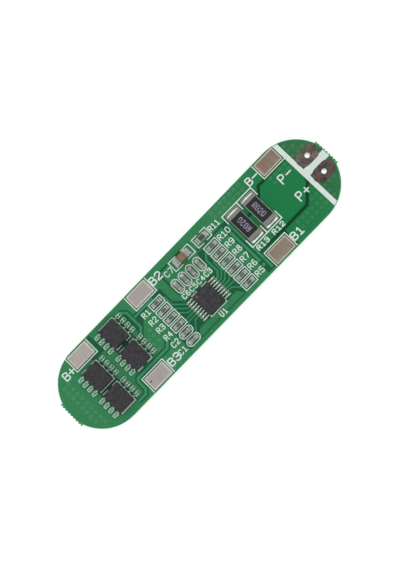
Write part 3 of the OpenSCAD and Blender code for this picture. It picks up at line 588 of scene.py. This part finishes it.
def tin(name, colour, light, stain, share, roughness=0.38, rim=None):
    """Dull tin: soft clouds of tone, stains where the coat is thin, fine scratches as relief, and on
    a tab a painted highlight along the rim, where the tin bead catches the light, and the red bottom of a
    pinhole."""
    made = Finish(name, colour, roughness=roughness, metallic=0.85, specular=0.4)
    uneven = made.mottle(420, 14000, 0.35)
    tone = made.blend(uneven["Broad"], tint(made.colour, 0.9), tint(made.colour, 1.08))
    cloud = made.ramp(uneven["Broad"], 0.5 - 0.25 * share, 0.78 - 0.25 * share)
    tone = made.blend(cloud, tone, paint(*stain), most=share)
    drawn = made.add("Mapping", Vector=made.place(), Scale=(1, 14, 1)).outputs[0]
    lines = made.add("TexNoise", Vector=drawn, Scale=700, Detail=4).outputs[0]
    tone = made.blend(made.ramp(lines, 0.45, 0.75), tone, paint(*light), most=0.3)
    if rim:
        # Painted highlight: the lighter rim tone stands for the tin bead catching the light.
        bead = made.add("Attribute", {"attribute_name": "rim"}).outputs["Fac"]
        tone = made.blend(bead, tone, paint(*rim[0]), most=rim[1])
        pin = made.add("Attribute", {"attribute_name": "pinhole"}).outputs["Fac"]
        tone = made.blend(pin, tone, paint(112, 26, 22))
    relief = made.math("ADD", uneven["Height"], made.math("MULTIPLY", lines, 0.5))
    return made.close(tone, uneven["Fine"], roughness - 0.08, roughness + 0.1, relief, 5e-6)


# The rim colours are painted highlights on the tin bead.
tab_tin = tin("tab_tin", (199, 190, 184), (212, 206, 200), (186, 170, 166), 0.35,
              rim=((228, 226, 216), 0.35))
thin_tin = tin("thin_tab_tin", (172, 162, 148), (190, 182, 170), (160, 134, 116), 0.6,
               rim=((206, 204, 190), 0.6))
worn_tin = tin("worn_tab_tin", (156, 152, 134), (172, 172, 154), (158, 122, 106), 0.8,
               rim=((210, 210, 194), 0.7))
TABS = {"tab_b_plus": (tab_tin, "tinned_tab"), "tab_b2": (tab_tin, "tinned_tab"),
        "tab_b3": (tab_tin, "tinned_tab"), "tab_b1": (thin_tin, "thin_tinned_tab"),
        "tab_b_minus": (worn_tin, "thin_tinned_tab")}
PINHOLE, PIN_RADIUS, PIN_DEPTH = np.array((-20.0, -6.65)), 0.21, 0.03     # a void in the coat of B3
for tab, (tab_finish, slot) in TABS.items():
    low, high = box(tab)
    points, faces = tinned_slab(low, high)
    void = np.exp(-(np.linalg.norm(points[:, :2] - PINHOLE, axis=1) / PIN_RADIUS) ** 4)
    points[:, 2] -= void * PIN_DEPTH * (points[:, 2] > low[2] + PIN_DEPTH)
    coat = piece(tab + "_coat", [(points, faces)], slot, tab_finish, tab)
    # Painted highlight: this share places the lighter tone of the bead catching the light.
    keep(coat, "rim", rim_highlight_share(points, low, high, 0.26))
    keep(coat, "pinhole", void)


# ------------------------------------------------------------------ wire pads
# Two round-ended lands of bare copper, gone brown, joined through the board by the plated
# sleeve of the wire hole, which is tinned inside; its bore and lip are painted near white, as
# painted light from the white floor seen through the hole.

def spool(low, high, hole, sleeve, foil):
    """A ring of points round the hole, carried over the section: outer rim, upper face, down the
    bore, lower face, outer rim, and back along the laminate outside the sleeve. A point on a face
    lies at its share of the way from the bore's circle to the round-ended outline, and the face
    falls a little from the rim to a dish, rises again, and rounds over into the bore."""
    around = 72
    centre = (low[:2] + high[:2]) / 2
    half_x, half_y = (high[:2] - low[:2]) / 2
    angle = np.linspace(0, 2 * math.pi, around, endpoint=False)
    direction = np.stack([np.cos(angle), np.sin(angle)], -1)
    across = half_y / np.maximum(np.abs(direction[:, 1]), 1e-9)
    focus = half_x - half_y
    c = np.abs(direction[:, 0])
    round_end = focus * c + np.sqrt(np.maximum(half_y ** 2 - (focus * direction[:, 1]) ** 2, 0))
    reach = np.where(across * c <= focus, across, round_end)
    top, bottom = high[2], low[2]
    face = np.array([1.0, 0.995, 0.975, 0.93, 0.85, 0.7, 0.5, 0.3, 0.15, 0.06, 0.02, 0.0])
    fall = np.array([foil, 0.6 * foil, 0.2 * foil, 0, 0.004, 0.01, 0.014, 0.014, 0.008, 0, 0.012, 0.05])
    share = np.concatenate([face, [0.0], face[::-1]])
    height = np.concatenate([top - fall, [(top + bottom) / 2], bottom + fall[::-1]])
    radius = hole + (reach[None, :] - hole) * share[:, None]
    radius = np.concatenate([radius, np.full((2, around), sleeve)])
    height = np.concatenate([height, [bottom + foil, top - foil]])
    rings = np.concatenate([centre + radius[..., None] * direction,
                            np.broadcast_to(height[:, None, None], (*radius.shape, 1))], -1)
    return loft(rings, wrap=True)


brown = Finish("oxidised_copper", (90, 78, 74), roughness=0.48, metallic=0.45, specular=0.3)
uneven = brown.mottle(700, 3400, 0.5)
tone = brown.blend(brown.ramp(uneven["Broad"], 0.3, 0.7), paint(72, 59, 55), paint(103, 91, 87))
tone = brown.blend(brown.ramp(uneven["Broad"], 0.56, 0.68), tone, paint(118, 76, 70), most=0.5)
tone = brown.blend(brown.ramp(uneven["Fine"], 0.5, 0.66), tone, paint(48, 34, 34), most=0.75)
p_minus_side = brown.ramp(brown.axis("Y"), -1e-4, 1e-4)              # this pad is less tarnished
tone = brown.blend(p_minus_side, tone, (1.35, 1.5, 1.46, 1), kind="MULTIPLY")
plan = brown.add("CombineXYZ", X=brown.axis("X"), Y=brown.math("ABSOLUTE", brown.axis("Y"))).outputs[0]
# The tinned bore and its lip are painted near white, brighter than tin, as painted light from the white
# floor through the hole.
bore_tin_and_light = brown.ramp(brown.distance(plan, (hole_x, hole_y, 0)), 5.4e-4, 4.9e-4)
tone = brown.blend(bore_tin_and_light, tone, paint(236, 236, 232))
brown.close(tone, uneven["Fine"], 0.4, 0.62, uneven["Height"], 8e-6)
HOLE_RADIUS, SLEEVE_RADIUS, PAD_FOIL = 0.475, 0.635, 0.05
for pad in ("wire_pad_p_minus", "wire_pad_p_plus"):
    piece(pad + "_copper", [spool(*box(pad), HOLE_RADIUS, SLEEVE_RADIUS, PAD_FOIL)],
          "oxidised_copper", brown, pad)


# ------------------------------------------------------------------ lands
# Tinned copper under every lead and metal end, with a hairline of bare laminate round it.

land_tin = tin("land_tin", (196, 202, 196), (226, 230, 226), (160, 172, 160), 0.3, roughness=0.3)
dress(land_tin, "component_lands")


# ------------------------------------------------------------------ moulded packages
# Four power transistors and the monitor chip: black epoxy pressed round the leads, with
# drafted sides that meet at the parting line, a fine flash there, and a dimple at lead one.

def rounded_rings(half_x, half_y, radius, per_corner=6, per_side=0):
    """Rounded rectangles, one for each row of half sizes: four quarter circles of points, and evenly
    spaced points on the straight sides between them."""
    t = np.linspace(0, math.pi / 2, per_corner)
    angle = (np.arange(4)[:, None] * math.pi / 2 + t).ravel()
    sign_x = np.repeat([1, -1, -1, 1], per_corner)
    sign_y = np.repeat([1, 1, -1, -1], per_corner)
    half_x, half_y, radius = [np.asarray(v, float)[:, None] for v in (half_x, half_y, radius)]
    corners = np.stack([sign_x * (half_x - radius) + radius * np.cos(angle),
                        sign_y * (half_y - radius) + radius * np.sin(angle)], -1)
    corners = corners.reshape(len(half_x), 4, per_corner, 2)
    t = np.linspace(0, 1, per_side + 2)[1:-1, None]
    sides = corners[:, :, -1:] * (1 - t) + np.roll(corners, -1, 1)[:, :, :1] * t
    return np.concatenate([corners, sides], 2).reshape(len(half_x), -1, 2)


def moulded(width, length, low, high, draft, edge, bevel, dimple):
    """Rounded rings stacked in Z. Their inset is tan(draft) times the height from the parting line,
    plus a quarter circle of the edge's radius at top and bottom. On the -X side a plane at 45
    degrees cuts the bevel. The top closes in on the dimple by straight shares of the way, from
    each rim point to one of as many points spaced evenly round the circle."""
    z_part, slope = (low + high) / 2, math.tan(math.radians(draft))
    a = np.radians(np.linspace(90, 0, 5))
    turn_in, turn_z = edge * (1 - np.cos(a)), edge * (1 - np.sin(a))
    z = np.concatenate([low + turn_z, [z_part - 0.03, z_part - 0.012, z_part + 0.012, z_part + 0.03],
                        [high - max(bevel, edge + 0.05)], high - turn_z[::-1], [high]])
    flash = np.concatenate([np.zeros(5), [0, -0.012, -0.012, 0], np.zeros(7)])
    inset = (np.abs(z - z_part) * slope + flash
             + np.concatenate([turn_in, np.zeros(5), turn_in[::-1], [edge + 0.06]]))
    radius = 0.14 - 0.4 * np.clip(inset, 0, 0.2)
    rings = rounded_rings(width / 2 - 0.012 - inset, length / 2 - 0.012 - inset, radius, 6, 4)
    if bevel:
        wall = width / 2 - (high - bevel - z_part) * slope - np.clip(z - (high - bevel), 0, None)
        rings[..., 0] = np.maximum(rings[..., 0], -wall[:, None])
    x, y, dimple_radius, depth = dimple
    rim = rings[-1] - (x, y)
    angle = np.linspace(0, 2 * math.pi, len(rim), endpoint=False)
    circle = np.stack([np.cos(angle), np.sin(angle)], -1)
    rows = [(x, y) + rim * (1 - share) + circle * dimple_radius * share for share in (0.35, 0.7, 1)]
    rows += [(x, y) + circle * dimple_radius * share for share in (0.94, 0.8, 0.5)]
    flat = np.concatenate([rings, rows])
    z = np.concatenate([z, np.full(3, high), high - depth * np.array([0.5, 0.9, 1])])
    return loft(np.concatenate([flat, np.broadcast_to(z[:, None, None], (*flat.shape[:2], 1))], -1))


def epoxy(name, colour, roughness, dimple=None):
    """Filled epoxy: near black, sandy under the glass filler, with a few pale grains. A polished
    ejector dimple, a place in metres with a radius, gets a painted sheen: its colour is lighter."""
    made = Finish(name, colour, roughness=roughness, specular=0.35)
    uneven = made.mottle(1500, 5200, 0.8)
    tone = made.blend(made.ramp(uneven["Broad"], 0.3, 0.7), tint(made.colour, 0.62), tint(made.colour, 1.5))
    tone = made.blend(made.ramp(uneven["Fine"], 0.55, 0.75), tone, paint(96, 90, 104), most=0.3)
    if dimple:
        away = made.distance(made.place(), dimple[0])
        # Painted sheen: the polished dimple is painted three times lighter.
        tone = made.blend(made.ramp(away, dimple[1], dimple[1] * 0.85), tone, tint(made.colour, 3.0))
    return made.close(tone, uneven["Fine"], roughness - 0.08, roughness + 0.12, uneven["Height"], 9e-6)


DRAFT = 7                                      # degrees of taper on every moulded side
# Both kinds of package: the mould's edge, bevel and dimple (x and y from the middle, radius and
# depth); the leads on a side, their pitch, thickness and width; and for the solder a lead's land,
# then climb, reach, film and edge.
FET_DIMPLE, CHIP_DIMPLE = (-1.05, 1.9, 0.28, 0.05), (-1.4, 1.8, 0.35, 0.06)
FET = (0.07, 0.25, FET_DIMPLE), (4, 1.27, 0.2, 0.42), ((1.25, 0.78), 0.1, 0.1, 0.048, 0.2)
CHIP = (0.06, 0, CHIP_DIMPLE), (8, 0.65, 0.15, 0.24), ((1.2, 0.38), 0.11, 0.34, 0.03, 0.06)
# Each package: its turn and kind.
PACKAGES = {"transistor_q1": (0, *FET), "transistor_q2": (0, *FET), "transistor_q3": (180, *FET),
            "transistor_q4": (180, *FET), "monitor_chip": (0, *CHIP)}
transistor_epoxy = epoxy("transistor_epoxy", (40, 39, 43), 0.55)
low, high = box("monitor_chip_body")
dimple_sheen_place = [*(middle("monitor_chip_body") + CHIP_DIMPLE[:2]) * 0.001, high[2] * 0.001]
chip_epoxy = epoxy("chip_epoxy", (43, 43, 47), 0.5, (dimple_sheen_place, 3.6e-4))
for package, (turn, mould, _, _) in PACKAGES.items():
    body = package + "_body"
    low, high = box(body)
    shell = moulded(high[0] - low[0], high[1] - low[1], low[2], high[2], DRAFT, *mould)
    slot, finish = (("chip_moulding", chip_epoxy) if package == "monitor_chip" else
                    ("transistor_moulding", transistor_epoxy))
    piece(package + "_moulding", [copies(shell, [[*middle(body), 0, turn]])], slot, finish, body, smooth=35)


# Gull-wing leads: stamped from one flat frame, tinned, and bent down to the lands.
def gull_wing(body_half, exit_z, reach, foot, thickness, width, floor_z):
    """A rounded bar carried along the bent path: out of the body, down, and out again on the foot.
    The path's two bends are arcs of a parabola that start 1.1 thicknesses from the corner, and the
    bar narrows a little at its cut end."""
    corners = np.array([(body_half - 0.3, exit_z), (body_half + 0.28, exit_z),
                        (reach - foot, floor_z + thickness / 2), (reach, floor_z + thickness / 2)])
    t = np.linspace(0, 1, 6)[:, None]
    path = [corners[:1]]
    for before, corner, after in zip(corners, corners[1:], corners[2:]):
        back = (before - corner) / np.linalg.norm(before - corner)
        on = (after - corner) / np.linalg.norm(after - corner)
        path.append(corner + 1.1 * thickness * ((1 - t) ** 2 * back + t ** 2 * on))
    path += [corners[3:] - (0.06, 0), corners[3:] - (0.02, 0), corners[3:]]
    path = np.concatenate(path)
    step = np.gradient(path, axis=0)
    step /= np.linalg.norm(step, axis=1)[:, None]
    normal = np.stack([-step[:, 1], step[:, 0]], -1)
    shrink = np.ones(len(path))
    shrink[-1] = 0.86
    section = rounded_rings(width / 2 * shrink, thickness / 2 * shrink, 0.035 * np.ones(len(path)), 3, 2)
    x = path[:, 0:1] + normal[:, 0:1] * section[..., 1]
    z = path[:, 1:2] + normal[:, 1:2] * section[..., 1]
    return loft(np.stack([x, section[..., 0], z], -1))


def lead_places(at, count, pitch):
    """Both rows of leads: x, y, z and turn of each."""
    rows = (np.arange(count) - (count - 1) / 2) * pitch
    return [[at[0], at[1] + (y if side == 0 else -y), 0, side] for side in (0, 180) for y in rows]


def lead_metal(name, colour, roughness):
    """Tin plate on copper alloy, smooth but faintly uneven."""
    made = Finish(name, colour, roughness=roughness, metallic=0.95, specular=0.5)
    uneven = made.mottle(2500, 15000, 0.5)
    tone = made.blend(uneven["Broad"], tint(made.colour, 0.82), tint(made.colour, 1.06))
    return made.close(tone, uneven["Fine"], roughness - 0.05, roughness + 0.08, uneven["Height"], 3e-6)


transistor_lead_tin = lead_metal("transistor_lead_tin", (137, 160, 145), 0.14)
chip_lead_tin = lead_metal("chip_lead_tin", (200, 206, 200), 0.28)
FOOT = 0.55                                    # length of a lead's flat end
for package, (_, _, (count, pitch, thickness, width), _) in PACKAGES.items():
    leads = package + "_leads"
    low, high = box(leads)
    body_low, body_high = box(package + "_body")
    bar = gull_wing((body_high[0] - body_low[0]) / 2, (body_low[2] + body_high[2]) / 2,
                    (high[0] - low[0]) / 2, FOOT, thickness, width, low[2])
    piece(package + "_gull_wings", [copies(bar, lead_places(middle(leads), count, pitch))], "tinned_lead",
          chip_lead_tin if package == "monitor_chip" else transistor_lead_tin, leads, smooth=50)


# ------------------------------------------------------------------ chip parts
# Resistors are alumina plates with a dark glaze on top, capacitors are stacks of fired
# ceramic. Both have plated metal ends that wrap round all five faces and stand a little proud.

def block(length, width, low, high, crown):
    """Rounded section carried along X: a rectangle with small round corners, whose top rises by
    the crown times 1 minus the fourth power of the share of the half length."""
    share = np.array([-1, -0.97, -0.8, -0.5, 0, 0.5, 0.8, 0.97, 1])
    same = np.ones(len(share))
    section = rounded_rings(width / 2 * same, (high - low) / 2 * same, 0.04 * same, 4)
    z = section[..., 1] + (low + high) / 2
    z += np.where(section[..., 1] > 0, crown * (1 - share[:, None] ** 4), 0)
    x = np.broadcast_to(share[:, None] * length / 2, z.shape)
    return loft(np.stack([x, section[..., 0], z], -1))


def metal_end(length, width, low, high, wrap, seed):
    """The end cup at +X: a rounded section that swells as a quarter circle at both of its rims.
    Its inner rim wavers round the section as two sines, as fired paste does."""
    a = np.radians(np.array([0, 30, 60, 90]))
    soft, lip = 0.07, 0.02
    x = np.concatenate([[-0.001], lip * (1 - np.cos(a[1:])), [wrap / 2], wrap - soft + soft * np.sin(a)])
    inset = np.concatenate([[lip], lip * (1 - np.sin(a[1:])), [0], soft * (1 - np.cos(a))])
    half = (high - low) / 2
    section = rounded_rings(width / 2 - inset, half - inset, np.maximum(0.09 - 0.4 * inset, 0.03), 5)
    angle = np.arctan2(section[..., 1] / half, section[..., 0] / (width / 2))
    waver = 0.022 * np.sin(2 * angle + seed) + 0.014 * np.sin(5 * angle + 2.3 * seed)
    along = length / 2 - wrap + x[:, None] + waver * (x[:, None] < wrap / 3)
    return loft(np.stack([along, section[..., 0], section[..., 1] + (low + high) / 2], -1))


def glaze(name, colour):
    """Dark glass: cloudy, with a soft gloss and shallow ripples."""
    made = Finish(name, colour, roughness=0.35, specular=0.4)
    uneven = made.mottle(1500, 12000, 0.6)
    tone = made.blend(uneven["Broad"], tint(made.colour, 0.75), tint(made.colour, 1.3))
    return made.close(tone, uneven["Fine"], 0.26, 0.48, uneven["Height"], 6e-6)


def ceramic(name, colour, light):
    """Fired ceramic: even body with darker and lighter clouds and fine pits."""
    made = Finish(name, colour, roughness=0.45, specular=0.35)
    uneven = made.mottle(1200, 11000, 0.7)
    tone = made.blend(made.ramp(uneven["Broad"], 0.3, 0.7), tint(made.colour, 0.86), paint(*light))
    tone = made.blend(made.ramp(uneven["Fine"], 0.62, 0.8), tone, tint(made.colour, 0.6), most=0.35)
    return made.close(tone, uneven["Fine"], 0.35, 0.57, uneven["Height"], 7e-6)


def plated(name, colour, roughness):
    """Barrel-plated tin over silver paste: dull, grainy metal."""
    made = Finish(name, colour, roughness=roughness, metallic=0.9, specular=0.4)
    uneven = made.mottle(2200, 13000, 0.6)
    tone = made.blend(uneven["Broad"], tint(made.colour, 0.8), tint(made.colour, 1.12))
    tone = made.blend(made.ramp(uneven["Fine"], 0.6, 0.8), tone, tint(made.colour, 1.25))
    return made.close(tone, uneven["Fine"], roughness - 0.1, roughness + 0.12, uneven["Height"], 7e-6)


resistor_glaze = glaze("resistor_glaze", (81, 91, 86))
dark_glaze = glaze("dark_resistor_glaze", (66, 72, 70))      # on R11, a larger and older type
alumina = ceramic("alumina_plate", (150, 164, 150), (170, 182, 168))
grey_ceramic = ceramic("capacitor_grey", (122, 124, 112), (136, 140, 128))
brown_ceramic = ceramic("capacitor_brown", (112, 94, 66), (126, 108, 80))
end_plate = plated("end_plate", (196, 200, 194), 0.30)
METAL = 0.03                                   # thickness of the plated metal over the ceramic
# Each size: the metal end's length, then for the solder the part's length and width, its land,
# and the climb.
R_0603, R_0805 = (0.29, 1.6, 0.85, (0.78, 0.95), 0.32), (0.35, 2.05, 1.25, (0.85, 1.3), 0.36)
C_0603, C_1206 = (0.27, 1.6, 0.85, (0.78, 0.95), 0.5), (0.68, 3.2, 1.6, (1.15, 1.65), 0.7)
# Each part: its turn and its size.
SMALL_PARTS = {
    "resistor": {**{f"resistor_r{n}": (0, R_0603) for n in range(1, 11)}, "resistor_r11": (0, R_0805)},
    "capacitor": {**{f"capacitor_c{n}": (0 if n < 3 else 90, C_0603) for n in range(1, 7)},
                  "capacitor_c7": (0, C_1206)},
}
for kind, parts in SMALL_PARTS.items():
    cups = []
    for number, (part, (turn, (wrap, *_))) in enumerate(parts.items()):
        low, high = box(part)
        length, width = (high - low)[[1, 0]] if turn else (high - low)[:2]
        at = middle(part)
        body = copies(block(length - 0.1, width, low[2], high[2] - 0.012, 0.012), [[*at, 0, turn]])
        if kind == "resistor":
            # The glaze runs 0.07 under both metal ends and stops 0.085 short of both long sides.
            coat = block(length - 2 * wrap + 0.14, width - 0.17, high[2] - 0.05, high[2] + 0.008, 0.01)
            piece(part + "_plate", [body], "resistor_coat", alumina, part)
            piece(part + "_glaze", [copies(coat, [[*at, 0, turn]])], "resistor_coat",
                  dark_glaze if part == "resistor_r11" else resistor_glaze)
        elif part == "capacitor_c7":
            piece(part + "_body", [body], "brown_ceramic", brown_ceramic, part)
        else:
            piece(part + "_body", [body], "grey_ceramic", grey_ceramic, part)
        for side in (0, 180):
            cup = metal_end(length + 2 * METAL, width + 2 * METAL, low[2] - METAL, high[2] + METAL,
                            wrap, seed=1.7 * number + 0.9 * side)
            cups.append(copies(cup, [[*at, 0, turn + side]]))
    piece(kind + "_end_cups", cups, "plated_end", end_plate, kind + "_ends")


# ------------------------------------------------------------------ current shunts
# Two large flat resistors side by side: black coat on a pale plate, wide dull metal ends, and
# the value in a violet-grey print that reads up on one and down on the other.

shunt_black = glaze("shunt_coat", (26, 32, 31))
shunt_end = plated("shunt_end", (154, 154, 148), 0.42)
value_ink = Finish("value_print", (142, 132, 152), roughness=0.5, specular=0.2)
value_uneven = value_ink.mottle(1800, 9000, 0.6)
value_ink.link(value_ink.blend(value_ink.ramp(value_uneven["Broad"], 0.3, 0.7), paint(112, 104, 122),
                               paint(158, 148, 168)), "Base Color")
value_ink.bump(value_uneven["Height"], 4e-6)
SHUNT_WRAP = 0.78                              # length of a shunt's metal end
# The coat leaves 0.71 bare at both ends and 0.15 at both sides.
for shunt, reading in (("r13", 90), ("r12", -90)):
    low, high = box(f"shunt_{shunt}_element")
    end_low, end_high = box(f"shunt_{shunt}_ends")
    length, width = end_high[1] - end_low[1], end_high[0] - end_low[0]
    at = middle(f"shunt_{shunt}_element")
    upright = [[*at, 0, 90]]
    plate = block(length - 0.16, width - 0.1, low[2], high[2] - 0.09, 0)
    coat = block(length - 1.42, width - 0.3, high[2] - 0.2, high[2] - 0.02, 0.03)
    cups = [copies(metal_end(length, width, end_low[2], end_high[2], SHUNT_WRAP, seed=2.0 + side),
                   [[*at, 0, 90 + side]]) for side in (0, 180)]
    value = words("R020", at + (0, 0.02), 1.3, 0.68, 0.13, 0.2, high[2] - 0.03, high[2] + 0.022, reading)
    piece(f"shunt_{shunt}_plate", [copies(plate, upright)], "shunt_coat", alumina,
          f"shunt_{shunt}_element")
    piece(f"shunt_{shunt}_coat", [copies(coat, upright)], "shunt_coat", shunt_black)
    piece(f"shunt_{shunt}_end_cups", cups, "plated_end", shunt_end, f"shunt_{shunt}_ends")
    piece(f"shunt_{shunt}_value", value, "shunt_coat", value_ink)


# ------------------------------------------------------------------ solder
# Reflowed paste on every land: it wets the land to its rim, and climbs each lead's foot or
# metal end in a hollow curve.

land_top = box("component_lands")[1][2]
BENEATH = -9                                   # the foot's rectangle runs on under the part


def pool(land, past, foot, corner, climb, reach, film, edge, bow=0.0, power=1):
    """Solder on a land of some length and width whose outer end lies at x = past. With d the distance
    from its rim, the film is film * sin(90 * d / edge) up to d = edge. With q the distance from the
    foot's rectangle, which spans x0 to x1 and its half width on both sides, plus
    bow * (y / half_y)^2, over the reach, climb * (1 - q^power)^2 comes on top, faded in the same
    way at the rim."""
    half_x, half_y = land[0] / 2 - 0.01, land[1] / 2 - 0.01
    x, y, d = field(half_x, half_y, corner, rows=33, columns=25)
    land_middle = past - land[0] / 2
    x0, x1, half_width = foot
    along = np.maximum(np.maximum(x + land_middle - x1, x0 - x - land_middle), 0)
    away = np.hypot(along, np.maximum(np.abs(y) - half_width, 0))
    q = np.clip((away + bow * (y / half_y) ** 2) / reach, 0, 1)
    rise = np.sin(np.minimum(d / edge, 1) * math.pi / 2)
    top = land_top + rise * (film + climb * (1 - q ** power) ** 2)
    return coating(x + land_middle, y, top, land_top)


def bright_solder(name, colour):
    """Freshly reflowed tin: bright, smooth, with faint frost where it froze last."""
    made = Finish(name, colour, roughness=0.2, metallic=1.0, specular=0.5)
    uneven = made.mottle(1600, 9000, 0.3)
    tone = made.blend(made.ramp(uneven["Broad"], 0.35, 0.75), made.colour, tint(made.colour, 0.78))
    frost = made.ramp(uneven["Broad"], 0.45, 0.7)
    return made.close(tone, frost, 0.15, 0.28, uneven["Height"], 5e-6)


solder = bright_solder("solder", (184, 194, 184))
thin_solder = bright_solder("thin_solder", (150, 182, 160))    # a thinner coat, toned by its flux
PAST_LEAD, PAST_END = 0.6, 0.42                # how far a land runs out in front of a lead or a part
for package, (_, _, (count, pitch, _, width), (land, *wetting)) in PACKAGES.items():
    leads = package + "_leads"
    low, high = box(leads)
    tip = (high[0] - low[0]) / 2
    shape = pool(land, tip + PAST_LEAD, (tip - FOOT, tip, width / 2), 0.1, *wetting)
    shells = [copies(shape, lead_places(middle(leads), count, pitch))]
    if package == "monitor_chip":
        piece("monitor_chip_solder", shells, "solder", solder, "solder_monitor_chip")
    else:
        replaced = ("solder_transistors",) if package == "transistor_q1" else ()
        piece(package + "_solder", shells, "solder", thin_solder, *replaced)

for kind, parts in SMALL_PARTS.items():
    shells = []
    for part, (turn, (_, length, width, land, climb)) in parts.items():
        shape = pool(land, length / 2 + PAST_END, (BENEATH, length / 2, width / 2), 0.12, climb,
                     reach=0.26, film=0.03, edge=0.08)
        shells.append(copies(shape, [[*middle(part), 0, turn], [*middle(part), 0, turn + 180]]))
    piece(kind + "_solder", shells, "solder", solder, f"solder_{kind}s")

# The shunts' north ends stand in lean solder, their south ends in full solder.
SHUNT_LAND = (1.3, 3.12)
shells = []
for shunt in ("r12", "r13"):
    low, high = box(f"shunt_{shunt}_ends")
    end_face = (high[1] - low[1]) / 2
    past = end_face + SHUNT_LAND[0] / 2
    foot = (BENEATH, end_face, 1.5)
    lean = pool(SHUNT_LAND, past, foot, 0.2, 0.13, 0.38, 0.015, 0.08, bow=0.18, power=2)
    full = pool(SHUNT_LAND, past, foot, 0.3, 0.18, 0.76, 0.02, 0.08, bow=0.25, power=3)
    at = middle(f"shunt_{shunt}_ends")
    shells += [copies(lean, [[*at, 0, 90]]), copies(full, [[*at, 0, 270]])]
piece("shunt_solder", shells, "solder", solder, "solder_shunts")
